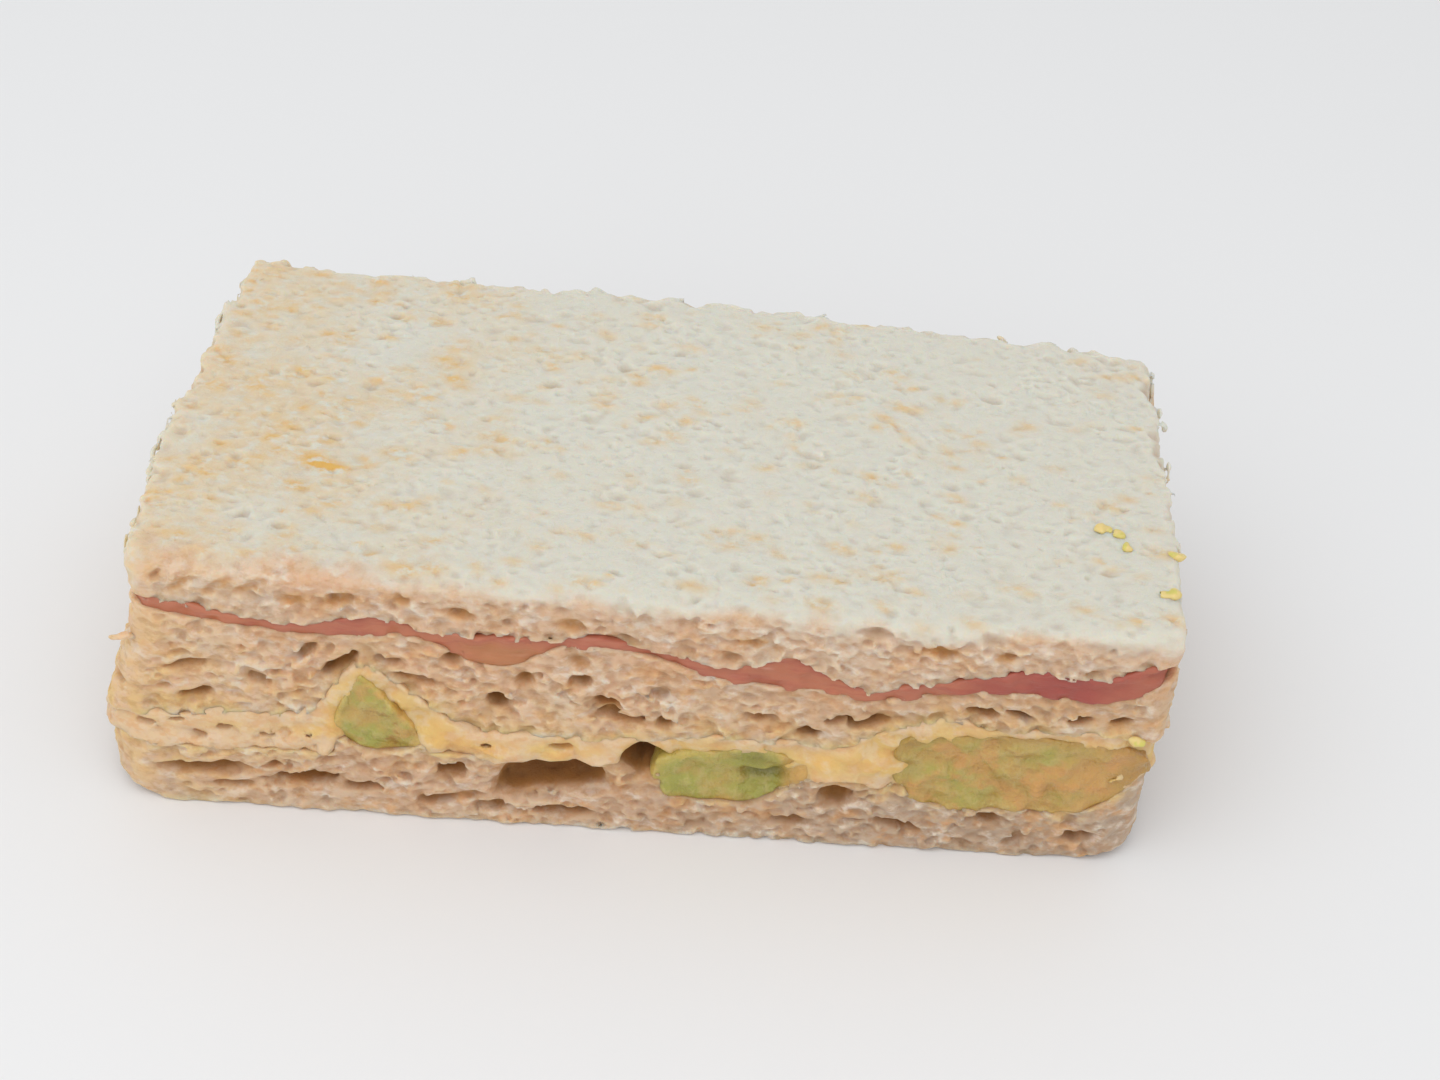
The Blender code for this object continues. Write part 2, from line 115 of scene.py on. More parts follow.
HAM_TOP = {
    "front": ((-54, 27.6), (-45, 25.6), (-34, 24.6), (-28, 26.1), (-23, 25.0), (-9, 24.9), (3.5, 24.0),
              (9, 23.2), (14, 24.8), (18, 22.8), (22, 21.3), (26, 22.3), (31, 23.4), (37, 25.2),
              (46, 25.3), (49.8, 27.0), (53, 27.4)),
    "back": ((-54, 25.0), (-38, 24.1), (-26, 25.6), (-18, 24.2), (-8, 23.3), (6, 24.4), (18, 24.4),
             (30, 22.4), (40, 25.0), (53, 23.8))}
TOP_BREAD_TOP = {
    "front": ((-54, 31.4), (-32, 30.9), (0, 30.8), (18, 30.2), (34, 30.0), (53, 30.9)),
    "back": ((-54, 31.2), (-30, 30.6), (-5, 30.9), (25, 30.2), (53, 29.2))}

# The knife pressed the top face down by its rounding at the front cut, and less and less over its reach.
KNIFE_ROUNDING, KNIFE_REACH = 1.1, 4.0

# The least thickness of the spread and of the ham.
SPREAD_LEAST, HAM_LEAST = 0.7, 1.1

# Pineapple lengths, each pair of values at the front and at the back. Peak is where the piece is tallest,
# from -1 to 1 across it, taper is the share of height lost away from there, and square is 0 for a box, 1 for
# an oval. The bread beside it rises by the lip's share of its height and falls away from the brim on, counted
# in half widths. The rest is looks: how ripe and bruised it is, the colour that tinges its rim, and how wide
# and strong that is.
FRUITS = {
    "pineapple_left": {"x": (-27.3, -31.0), "half": (4.6, 7.0), "low": (9.2, 7.7), "high": (19.0, 13.2),
                       "peak": -0.38, "taper": 0.74, "square": 0.80, "lip": 0.12, "brim": 1.0,
                       "ripe": 0.58, "bruised": 1.0, "tinge": "spread_warm", "rim": (0.8, 0.65)},
    "pineapple_centre": {"x": (8.9, 9.6), "half": (8.1, 7.8), "low": (4.9, 7.0), "high": (12.5, 12.6),
                         "peak": 0.30, "taper": 0.22, "square": 0.42, "lip": 0.48, "brim": 1.13,
                         "ripe": 0.06, "bruised": 0.24, "tinge": "spread_warm", "rim": (0.6, 0.5)},
    "pineapple_right": {"x": (38.0, 37.6), "half": (12.6, 8.8), "low": (6.4, 7.6), "high": (16.4, 13.0),
                        "peak": 0.10, "taper": 0.05, "square": 0.42, "lip": 0.30, "brim": 1.0,
                        "ripe": 0.74, "bruised": 0.55, "tinge": "fruit_dark", "rim": (1.1, 1.0)},
}

# How far the fruit's cut ends lie behind the bread's, how deep it sinks into the bread, and the room that the
# spread leaves beside it.
FRUIT_INSET, FRUIT_SUNK, FRUIT_CLEARANCE = 0.55, 0.4, 0.6

# The bread beside the fruit, in half widths of it: where its lip starts to rise, over which length, and the
# length over which it falls away. The bread under the fruit: where it ends, over which length, and how far it
# reaches above the fruit's lowest height.
LIP_FROM, LIP_RISE, LIP_FALL = 0.55, 0.2, 0.35
UNDER_TO, UNDER_FALL, UNDER_HIGH = 0.85, 0.3, 0.7

# The dark hollow in the middle pineapple length: its middle, half sizes and tilt in degrees. Then its shade and
# the one over it: x, z, half sizes and strength.
FRUIT_HOLLOW = ((12.0, -26.8, 8.8), (2.2, 1.0, 0.95), 2.0)
FRUIT_SHADES = ((12.0, 8.8, 2.1, 1.0, 1.0), (11.2, 11.1, 1.7, 0.9, 0.7))

# How far bread and spread lap over the fruit's rim, and how high the lowest slice is kept above the table.
RIM_LAP, BREAD_LIFT = 0.3, 0.02

# How far the spread bulges out of the cut low down, and up to which height above the bread. At the left it is
# mixed with crumb: from which x on, and over which length this grows.
SPREAD_SAG, SAG_HEIGHT = 0.9, 4.5
CRUMBLY_FROM_X, CRUMBLY_LENGTH = -24.0, 10.0

# Large pores that show in the front cut, by the layer that they are in: x, z, half length, half height, depth
# and tilt in degrees. Those under "all" go through every layer that they meet.
FRONT_PORES = {
    "all": ((-10.6, 6.9, 4.0, 2.0, 4.6, 4), (-7.0, 7.3, 2.8, 1.7, 4.0, -6), (-0.5, 10.0, 2.1, 1.75, 4.2, 0)),
    "bottom": ((-13.4, 5.4, 2.2, 1.3, 3.0, 14), (-44.4, 4.9, 3.4, 0.75, 1.8, 8), (-42.6, 2.9, 1.8, 0.5, 1.2, 6),
               (-35.2, 4.3, 3.4, 0.85, 2.2, 5), (-29.6, 3.8, 2.0, 0.6, 1.6, 4), (-21.6, 2.6, 2.4, 0.7, 1.6, 14),
               (-20.0, 6.9, 1.5, 0.9, 2.2, 10), (-38.6, 6.0, 0.8, 0.5, 1.4, 0), (-15.9, 2.2, 2.0, 0.6, 1.4, 0),
               (-8.6, 2.1, 3.4, 0.6, 1.6, 2), (19.6, 6.9, 1.6, 1.2, 2.2, 0), (35.4, 5.0, 1.6, 0.7, 1.8, -8),
               (15.2, 2.9, 2.2, 0.6, 1.4, 0), (26.4, 3.3, 2.6, 0.6, 1.6, -14), (44.8, 3.2, 1.6, 0.6, 1.4, 10)),
    "middle": ((-31.2, 19.6, 2.6, 0.7, 2.0, 38), (-26.4, 20.6, 1.6, 0.5, 1.4, -4),
               (-23.6, 18.6, 2.4, 0.55, 1.4, -16), (-45.8, 18.4, 1.6, 0.6, 1.3, 14),
               (-45.2, 14.4, 1.4, 0.6, 1.8, 22), (-39.6, 17.0, 1.4, 0.5, 1.2, -18),
               (-34.2, 21.4, 1.3, 0.5, 1.4, 45), (-19.8, 21.6, 0.9, 0.7, 1.6, 0), (-15.2, 16.4, 1.2, 1.0, 2.6, -8),
               (-12.4, 19.4, 1.0, 0.7, 1.4, 0), (-4.2, 17.0, 1.4, 0.85, 2.2, -14),
               (-2.6, 15.3, 2.4, 0.55, 1.8, -8), (-6.8, 20.0, 1.2, 0.7, 1.5, 10), (1.8, 15.1, 0.9, 0.7, 1.5, 0),
               (16.4, 15.0, 1.4, 0.6, 1.8, 4), (19.4, 17.0, 1.4, 0.5, 1.6, 14), (22.6, 16.9, 2.3, 0.5, 1.8, 14),
               (33.6, 19.4, 1.8, 0.6, 1.9, -8), (37.4, 19.3, 1.5, 0.5, 1.7, -20), (43.4, 19.2, 1.3, 0.5, 1.6, 12),
               (47.4, 19.4, 1.2, 0.45, 1.5, 14), (11.6, 16.8, 1.8, 0.5, 1.4, -6)),
    "spread": ((-43.0, 10.4, 0.75, 0.5, 1.3, 20), (-44.8, 9.2, 0.6, 0.4, 1.2, 0), (-48.6, 10.3, 0.8, 0.5, 1.2, 10),
               (-39.2, 9.8, 0.9, 0.4, 1.1, -10), (-34.6, 10.4, 0.8, 0.4, 1.1, 5),
               (-46.4, 11.0, 0.7, 0.35, 0.9, 15), (0.5, 9.0, 1.7, 1.7, 3.6, 0), (-8.8, 11.0, 1.3, 0.5, 1.4, 0),
               (-16.4, 10.8, 0.9, 0.45, 1.3, 0)),
    "top": ((-7.6, 27.0, 1.4, 0.6, 0.9, -8), (-3.6, 25.4, 1.2, 0.6, 0.9, -10), (-46.6, 28.6, 1.5, 0.42, 0.6, 34),
            (-43.0, 28.6, 1.8, 0.42, 0.6, 32), (-39.4, 29.0, 1.9, 0.42, 0.6, 30), (-35.2, 27.6, 1.2, 0.5, 0.8, 4),
            (-30.6, 28.0, 1.9, 0.6, 1.0, 14), (-18.6, 27.4, 1.3, 0.5, 1.0, -10), (-24.4, 28.6, 0.9, 0.5, 0.9, 0),
            (10.6, 26.4, 1.8, 0.45, 0.7, -4), (29.0, 27.0, 1.8, 0.5, 0.8, -6), (35.2, 27.0, 1.3, 0.4, 0.7, 8)),
}

# How each slice's own pores lie, flatness and tilt at the left end and elsewhere, and the rounding of its
# lower and upper edges.
SLICE_CRUMB = {
    "top": {"flatness": 0.48, "tilt": (34.0, 0.0), "edges": (0.15, 1.2), "seed": 31},
    "middle": {"flatness": 0.62, "tilt": (10.0, -4.0), "edges": (0.15, 0.15), "seed": 32},
    "bottom": {"flatness": 0.42, "tilt": (6.0, 2.0), "edges": (0.7, 0.15), "seed": 33},
}

# The scatter of pores: the length of each side, which shares them out, where they start to lean as at the left
# end and over which length, and the half lengths of the fine, the larger and the top face's pores.
WALL_SIDES = {"front": 105.0, "back": 105.0, "left": 56.0, "right": 56.0}
LEANING_FROM_X, LEANING_LENGTH = -24.0, 22.0
FINE_PORE_HALVES, LARGER_PORE_HALVES, TOP_PORE_HALVES = (0.28, 0.55), (0.4, 1.5), (0.3, 1.1)
LEAST_HALF_HEIGHT = 0.26
TOP_PORE_SEED = 51

# Random relief: height, size of the lumps along x, y and z, and seed of each of its layers.
RELIEF = {
    "torn": ((1.0, (1.3, 1.3, 1.8), 60), (0.5, (0.7, 0.7, 0.8), 61)),
    "tufts": ((0.50, (2.4, 2.4, 1.8), 64), (0.40, (1.2, 1.2, 1.1), 66), (0.62, (0.72, 0.72, 0.66), 67)),
    "sliced face": ((0.10, (3.0, 3.0, 9.0), 62), (0.05, (1.4, 1.1, 9.0), 65), (0.07, (0.9, 0.6, 9.0), 68)),
    "open cells": ((1.0, (0.60, 0.60, 0.52), 63),),
    "ham fold": ((0.25, (6.0, 6.0, 30.0), 80),),
    "ham sides": ((0.30, (1.2, 1.2, 0.7), 81),),
    "ham faces": ((0.14, (1.2, 1.2, 8.0), 84),),
    "ham skin": ((0.14, (0.7, 0.7, 0.6), 82),),
    "spread sides": ((0.30, (1.1, 1.1, 0.8), 90), (0.24, (3.0, 3.0, 1.6), 92)),
    "spread faces": ((0.34, (1.2, 1.2, 6.0), 93),),
    "spread cells": ((1.0, (0.62, 0.62, 0.55), 91),),
    "spread lap": ((0.45, (1.0, 1.0, 0.8), 94),),
    "fruit ends": ((0.22, (0.8, 3.0, 0.9), 100), (0.34, (1.7, 2.4, 1.7), 101)),
    "fruit skin": ((0.26, (0.95, 2.6, 0.95), 102),),
}

# Random values at the points of a mesh, which make its masks uneven: size of the lumps and seed.
UNEVEN = {"crumb": (1.6, 71), "clouds": (4.5, 72), "ham": (2.4, 83), "flap": (1.2, 85), "spread": (1.3, 95),
          "rim": (1.2, 103), "middle tip": (1.4, 104), "right tip": (2.4, 104)}

# Grain of the materials: lumps to the metre, stretch along x, y and z, detail, and the range of the noise that
# its mask takes up.
GRAINS = {
    "broken flecks": (900.0, (0.7, 1.0, 1.0), 3.0, 0.28, 0.56),
    "clouds": (130.0, (1.0, 1.0, 1.0), 3.0, 0.35, 0.68),
    "fine crumb": (2600.0, (1.0, 1.0, 1.0), 4.0, 0.30, 0.70),
    "mottle": (1100.0, (0.6, 0.6, 1.1), 3.0, 0.46, 0.66),
    "amber blots": (400.0, (0.7, 0.7, 1.2), 4.0, 0.50, 0.66),
    "pale blots": (620.0, (0.6, 0.6, 1.0), 4.0, 0.50, 0.66),
    "soaked blots": (480.0, (0.8, 0.8, 1.0), 3.0, 0.30, 0.62),
    "ham patches": (75.0, (0.6, 1.0, 1.0), 2.0, 0.40, 0.62),
    "ham fat": (240.0, (0.25, 0.8, 2.2), 3.0, 0.60, 0.68),
    "ham lines": (520.0, (0.35, 0.8, 2.0), 4.0, 0.48, 0.66),
    "ham film": (900.0, (0.5, 1.0, 1.5), 3.0, 0.35, 0.65),
    "spread patches": (260.0, (0.7, 1.0, 1.0), 4.0, 0.40, 0.62),
    "spread lumps": (800.0, (1.0, 1.0, 1.0), 3.0, 0.35, 0.65),
    "spread crumbs": (620.0, (0.8, 0.8, 1.0), 3.0, 0.48, 0.62),
    "spread blots": (430.0, (0.7, 0.7, 1.2), 4.0, 0.52, 0.66),
    "fruit patches": (210.0, (0.8, 1.0, 1.0), 4.0, 0.30, 0.56),
    "fibres": (900.0, (1.0, 0.6, 0.8), 3.0, 0.45, 0.65),
    "bruises": (460.0, (0.7, 1.0, 1.3), 4.0, 0.52, 0.68),
    "ripe blots": (230.0, (0.8, 1.0, 1.0), 3.0, 0.48, 0.60),
    "green tinge": (700.0, (1.0, 1.0, 1.0), 2.0, 0.46, 0.60),
}

# Amber flecks of the top face: x, y, half length and strength. A seeded scatter adds this many.
TOP_FLECKS = (
    (-36.4, -9.2, 2.2, 1.3), (-34.6, -9.8, 1.4, 1.0), (-44.6, -10.3, 0.9, 0.75), (-43.0, -9.6, 0.7, 0.5),
    (-43.7, 13.7, 0.8, 0.6), (-40.6, 15.1, 1.0, 0.6), (-36.1, 12.7, 0.8, 0.5), (-48.4, 19.3, 1.2, 0.6),
    (-12.1, -3.4, 0.8, 0.5), (-5.0, 9.8, 1.2, 0.5), (-16.3, 15.3, 1.2, 0.5), (-26.2, 14.0, 1.4, 0.4),
    (7.4, -14.8, 1.0, 0.5), (18.1, -15.9, 1.5, 0.65), (5.8, -1.0, 0.8, 0.3), (29.1, 6.7, 0.9, 0.4),
    (40.6, -5.4, 0.9, 0.45), (-24.4, -25.3, 1.3, 0.8), (-39.8, -25.4, 1.9, 0.6), (-44.8, -25.6, 1.6, 0.6),
    (-34.0, -26.2, 1.6, 0.6), (-30.4, -26.6, 1.1, 0.5),
)
FLECK_COUNT, FLECK_SEED = 520, 52

# Yellow bits that lie on the sandwich, and a shred of torn crumb: middle, half sizes and turn in degrees. Then
# the height of their lumps, their size and the first bit's seed.
BITS = (((45.1, -9.5, 30.35), (0.9, 0.6, 0.32), -12.0), ((46.7, -10.3, 30.35), (0.7, 0.5, 0.3), -20.0),
        ((47.2, -12.6, 30.5), (0.4, 0.7, 0.28), 15.0), ((43.9, -11.3, 30.35), (0.6, 0.4, 0.22), 30.0),
        ((52.0, -13.1, 30.35), (1.0, 0.6, 0.4), -15.0), ((51.4, -20.0, 30.75), (1.0, 0.6, 0.32), 5.0),
        ((49.2, -26.9, 17.2), (0.8, 0.45, 0.45), -15.0))
TORN_CRUMB = (((-52.3, -27.4, 20.9), (1.3, 0.34, 0.28), 10.0),)
BIT_LUMPS, BIT_LUMP_SIZE, BIT_SEED = 0.17, 0.5, 110

# The plain pale table, the even light of the room and one soft light that faces the sandwich, in metres and
# watts.
TABLE_HALF = 3.0
TABLE_COLOUR, TABLE_ROUGHNESS = (0.820, 0.828, 0.838, 1.0), 0.7
ROOM_COLOUR, ROOM_STRENGTH = (1.0, 1.0, 1.0, 1.0), 0.71
SOFTBOX_SIZE, SOFTBOX_WATTS, SOFTBOX_PLACE = 1.10, 3.0, (-0.12, -0.38, 0.58)

# The photograph's view: azimuth, elevation and roll in degrees, distance and aim in millimetres, focal length
# and width of the picture in its pixels.
VIEW_ANGLES = (3.07, 38.0, 2.57)
VIEW_DISTANCE = 255.7
VIEW_AIM = np.array([5.1, 0.0, 17.6]) - FOOTPRINT_MIDDLE
VIEW_FOCAL_PIXELS, PICTURE_WIDTH_PIXELS = 2327.0, 1440.0
SENSOR_WIDTH = 36.0


def smoothstep(share):
    share = np.clip(share, 0.0, 1.0)
    return share * share * (3.0 - 2.0 * share)


def smooth_line(x, knots):
    """The height at x of one smooth line through a few (x, z) knots."""
    along, height = np.array(knots, float).T
    slope = np.gradient(height, along)
    i = np.clip(np.searchsorted(along, x) - 1, 0, len(along) - 2)
    span = along[i + 1] - along[i]
    t = np.clip((x - along[i]) / span, 0.0, 1.0)
    rising = t * t * (3.0 - 2.0 * t)
    return (height[i] * (1.0 - rising) + height[i + 1] * rising
            + slope[i] * span * t * (1.0 - t) ** 2 - slope[i + 1] * span * t * t * (1.0 - t))


def side_offset(plan, side, share):
    """How far out one bowed side of a plan lies, at a share of its length."""
    first, last, bow = plan[side]
    return first + (last - first) * share + bow * 4.0 * share * (1.0 - share)


def plan_share(plan, low, high, place):
    """The share of the way from one side of a plan to the side across from it."""
    return (place - plan[low][0]) / (plan[high][0] - plan[low][0])


def depth_share(y):
    """0 at the front cut and 1 at the back cut."""
    return smoothstep(plan_share(BOTTOM_PLAN, "front", "back", y))


def layer_height(face, x, y):
    """A layer's face: its front line changes into its back line over the depth."""
    share = depth_share(y)
    return smooth_line(x, face["front"]) * (1.0 - share) + smooth_line(x, face["back"]) * share


def fruit_sides(fruit, share):
    """Middle, half width, lowest and highest z of a pineapple length at a share of its way to the back."""
    return [fruit[key][0] + (fruit[key][1] - fruit[key][0]) * share for key in ("x", "half", "low", "high")]


def fruit_height(fruit, across):
    """Share of the fruit's full height at a place across it, from -1 to 1: it tapers away from its peak."""
    away = abs(across - fruit["peak"]) / (1.0 + abs(fruit["peak"]))
    return 1.0 - fruit["taper"] * np.clip(away, 0.0, 1.0)


def fruit_cover(x, y):
    """The lowest height that clears every pineapple length, or 0 away from them."""
    cover = np.zeros(np.broadcast(x, y).shape)
    for fruit in FRUITS.values():
        middle, half, low, high = fruit_sides(fruit, depth_share(y))
        across = (x - middle) / (half + FRUIT_CLEARANCE)
        dome = np.clip(1.0 - abs(across) ** (2.0 / fruit["square"]), 0.0, 1.0) ** (fruit["square"] / 2.0)
        tall = low + (high - low) * fruit_height(fruit, np.clip(across, -1, 1))
        cover = np.maximum(cover, np.where(dome > 0, low + (tall - low) * dome ** 0.5, 0.0))
    return cover


def fruit_body(fruit, x, y, z):
    """The field of a pineapple length that never ends, front to back: it lies on the bread under it."""
    middle, half, low, high = fruit_sides(fruit, depth_share(y))
    across = (x - middle) / half
    top = low + (high - low) * fruit_height(fruit, np.clip(across, -1, 1))
    floor = np.maximum(layer_height(FLOOR_BREAD_TOP, x, y), low) - FRUIT_SUNK
    tall = np.maximum((top - floor) / 2, 0.3)
    upward = (z - (top + floor) / 2) / tall
    power = 2.0 / fruit["square"]
    return ((abs(across) ** power + abs(upward) ** power) ** (1.0 / power) - 1.0) * tall


def cut_for_fruit(grid, field, lap):
    """Makes room for the pineapple lengths in a field, which laps over their rims by this amount."""
    x, y = grid.plane()
    z = grid.upright()
    for fruit in FRUITS.values():
        reach = max(fruit["half"]) + 1.5
        near = (grid.axes[0] > min(fruit["x"]) - reach) & (grid.axes[0] < max(fruit["x"]) + reach)
        body = fruit_body(fruit, x[near][..., None], y[near][..., None], z)
        body = body + (lap[near] if hasattr(lap, "shape") else lap)
        field[near] = soft_larger(field[near], -body, 0.15)


def bottom_bread_low(x, y):
    """Flat where it rests, curled up a little at both ends."""
    rise = 0.0 * (x + y)
    for starts, ends, height in (CURL_LEFT, CURL_RIGHT):
        rise = rise + height * smoothstep((x - starts) / (ends - starts))
    return rise


def bottom_bread_high(x, y):
    """The lowest slice hugs each pineapple length from below and rises a little on both sides of it."""
    height = layer_height(FLOOR_BREAD_TOP, x, y)
    for fruit in FRUITS.values():
        middle, half, low, high = fruit_sides(fruit, depth_share(y))
        beside = abs(x - middle) / half
        lip = smoothstep((beside - LIP_FROM) / LIP_RISE) * (1.0 - smoothstep((beside - fruit["brim"]) / LIP_FALL))
        under = 1.0 - smoothstep((beside - UNDER_TO) / UNDER_FALL)
        hugging = np.maximum((low + fruit["lip"] * (high - low)) * lip, (low + UNDER_HIGH) * under)
        height = np.maximum(height, hugging)
    return height


def spread_low(x, y):
    return layer_height(FLOOR_BREAD_TOP, x, y)


def spread_high(x, y):
    """The spread is never thinner than its least, over bread and over fruit."""
    least = np.maximum(spread_low(x, y), fruit_cover(x, y)) + SPREAD_LEAST
    return np.maximum(layer_height(SPREAD_TOP, x, y), least)


def middle_bread_high(x, y):
    return layer_height(HAM_BOTTOM, x, y) + HAM_BURIED


def ham_low(x, y):
    return layer_height(HAM_BOTTOM, x, y)


def ham_high(x, y):
    return np.maximum(layer_height(HAM_TOP, x, y), ham_low(x, y) + HAM_LEAST)


def top_bread_low(x, y):
    return ham_high(x, y) - 0.6 * HAM_BURIED


def top_bread_high(x, y):
    """The top face, pressed down along the front where the knife went in."""
    pressed = np.clip(1.0 - (y - TOP_PLAN["front"][0]) / KNIFE_REACH, 0.0, 1.0) ** 2
    return layer_height(TOP_BREAD_TOP, x, y) - KNIFE_ROUNDING * pressed


LAYERS = {
    "bottom": (BOTTOM_PLAN, bottom_bread_low, bottom_bread_high),
    "spread": (SPREAD_PLAN, spread_low, spread_high),
    "middle": (MIDDLE_PLAN, spread_high, middle_bread_high),
    "ham": (HAM_PLAN, ham_low, ham_high),
    "top": (TOP_PLAN, top_bread_low, top_bread_high),
}


def wall_place(plan, side, share):
    """A point on one side of a plan at a share of its length, and the level direction along that side."""
    offset = side_offset(plan, side, share)
    left, right = plan["left"][0], plan["right"][0]
    front, back = plan["front"][0], plan["back"][0]
    if side in ("front", "back"):
        return left + (right - left) * share, offset, (1.0, 0.0)
    return offset, front + (back - front) * share, (0.0, 1.0)


def outside_plan(plan, x, y):
    """Distance outside the rounded four-sided plan, negative inside it."""
    across = np.clip(plan_share(plan, "front", "back", y), 0.0, 1.0)
    along = np.clip(plan_share(plan, "left", "right", x), 0.0, 1.0)
    beyond_x = np.maximum(side_offset(plan, "left", across) - x, x - side_offset(plan, "right", across))
    beyond_y = np.maximum(side_offset(plan, "front", along) - y, y - side_offset(plan, "back", along))
    return rounded_corner(beyond_x, beyond_y, plan["corner"])


def soft_larger(first, second, radius):
    """The larger of two distances, with the crease between them rounded over this radius."""
    crease = np.clip(1.0 - abs(first - second) / radius, 0.0, 1.0)
    return np.maximum(first, second) + crease * crease * radius / 4.0


def rounded_corner(first, second, radius):
    """Joins two distances as the faces of a body that meet in an edge rounded to this radius."""
    a, b = first + radius, second + radius
    return np.hypot(np.maximum(a, 0.0), np.maximum(b, 0.0)) + np.minimum(np.maximum(a, b), 0.0) - radius


class Grid:
    """Evenly spaced sample points of a box, in millimetres."""

    def __init__(self, low, high, step):
        self.low, self.step = np.array(low, float), step
        self.shape = tuple(int(math.ceil((b - a) / step)) + 1 for a, b in zip(low, high))
        self.axes = [(self.low[i] + step * np.arange(self.shape[i])).astype(np.float32) for i in range(3)]

    def plane(self):
        """x and y of every upright line of points."""
        return np.meshgrid(self.axes[0], self.axes[1], indexing="ij")

    def lumps(self, sizes, seed):
        """Smooth random lumps from about -1 to 1, of this size along x, y and z."""
        draw = np.random.default_rng(seed)
        weights = []
        for axis, size in zip(self.axes, sizes):
            place = (axis - axis[0]) / size
            cell = place.astype(int)
            t = place - cell
            spline = np.zeros((len(axis), cell[-1] + 4))
            parts = ((1 - t) ** 3, 3 * t ** 3 - 6 * t ** 2 + 4, -3 * t ** 3 + 3 * t ** 2 + 3 * t + 1, t ** 3)
            for k, part in enumerate(parts):
                spline[np.arange(len(axis)), cell + k] += part / 6.0
            weights.append(spline)
        lattice = draw.uniform(-1.0, 1.0, [w.shape[1] for w in weights])
        smooth = np.tensordot(weights[0], lattice, (1, 0))
        smooth = np.tensordot(smooth, weights[1], (1, 1))
        smooth = np.tensordot(smooth, weights[2], (1, 1))
        return (smooth * 2.6).astype(np.float32)

    def relief(self, name):
        """The sum of the layers of lumps that a named relief has."""
        return sum(height * self.lumps(sizes, seed) for height, sizes, seed in RELIEF[name])

    def upright(self):
        """z of the points, for use with values that x and y have."""
        return self.axes[2][None, None, :]

    def hollow(self, field, centre, frame_axes, radii):
        """Takes an ellipsoid out of the field: its axes are the rows of frame_axes."""
        reach = np.abs(np.array(frame_axes)).T @ np.array(radii) * 1.6
        first = [max(0, int((centre[i] - reach[i] - self.low[i]) / self.step)) for i in range(3)]
        last = [min(self.shape[i], int((centre[i] + reach[i] - self.low[i]) / self.step) + 2) for i in range(3)]
        if any(b <= a for a, b in zip(first, last)):
            return
        block = tuple(slice(a, b) for a, b in zip(first, last))
        x, y, z = np.meshgrid(*[self.axes[i][block[i]] - centre[i] for i in range(3)], indexing="ij", sparse=True)
        squares = 0.0
        for axis, radius in zip(frame_axes, radii):
            squares = squares + ((axis[0] * x + axis[1] * y + axis[2] * z) / radius) ** 2
        depth = (1.0 - np.sqrt(squares)) * min(radii)
        field[block] = soft_larger(field[block], depth, 0.7 * min(radii))

    def surface(self, field):
        """Points and four-sided faces where the field crosses zero, one point to each crossed cell."""
        inside = field < 0.0
        n = [s - 1 for s in field.shape]
        whole = np.ones(n, bool)
        none = np.ones(n, bool)
        corners = list(itertools.product((0, 1), repeat=3))
        for a, b, c in corners:
            corner = inside[a:a + n[0], b:b + n[1], c:c + n[2]]
            whole &= corner
            none &= ~corner
        crossed = ~(whole | none)
        cells = np.argwhere(crossed)
        number = np.full(crossed.shape, -1, np.int64)
        number[crossed] = np.arange(len(cells))
        total, count = np.zeros((len(cells), 3)), np.zeros(len(cells))
        for axis in range(3):
            step = np.eye(3, dtype=int)[axis]
            for corner in corners:
                if corner[axis]:
                    continue
                start = cells + corner
                end = start + step
                from_value, to_value = field[tuple(start.T)], field[tuple(end.T)]
                crosses = (from_value < 0.0) != (to_value < 0.0)
                share = np.where(crosses, from_value / np.where(crosses, from_value - to_value, 1.0), 0.0)
                total += crosses[:, None] * (np.array(corner) + share[:, None] * step)
                count += crosses
        points = self.low + (cells + total / count[:, None]) * self.step
        faces = []
        for axis in range(3):
            a, b = (axis + 1) % 3, (axis + 2) % 3
            step = np.eye(3, dtype=int)
            near = inside[tuple(slice(0, -1) if i == axis else slice(1, -1) for i in range(3))]
            far = inside[tuple(slice(1, None) if i == axis else slice(1, -1) for i in range(3))]
            edges = np.argwhere(near != far)
            edges += step[a] + step[b]
            around = [number[tuple((edges - shift).T)] for shift in (step[a] + step[b], step[b], 0, step[a])]
            quads = np.stack(around, -1)
            outward = inside[tuple(edges.T)]
            faces.append(np.where(outward[:, None], quads, quads[:, ::-1]))
        return one_body(points, np.concatenate(faces))


def one_body(points, faces):
    """Keeps the largest connected body, without shut hollows and loose scraps."""
    label = np.arange(len(points))
    first, second = faces[:, [0, 1, 2]].ravel(), faces[:, [1, 2, 3]].ravel()
    while True:
        lowest = np.minimum(label[first], label[second])
        merged = label.copy()
        np.minimum.at(merged, label[first], lowest)
        np.minimum.at(merged, label[second], lowest)
        merged = merged[merged]
        if np.array_equal(merged, label):
            break
        label = merged
    kept = label == np.bincount(label).argmax()
    renumbered = np.cumsum(kept) - 1
    return points[kept], renumbered[faces[kept[faces[:, 0]]]]


def layer_grid(name, step, margin=1.2):
    """A grid that takes in one whole layer."""
    plan, low, high = LAYERS[name]
    x, y = np.meshgrid(np.linspace(plan["left"][0] - 2, plan["right"][0] + 2, 90),
                       np.linspace(plan["front"][0] - 2, plan["back"][0] + 2, 60))
    return Grid((x.min() - margin, y.min() - margin, low(x, y).min() - margin),
                (x.max() + margin, y.max() + margin, high(x, y).max() + margin), step)


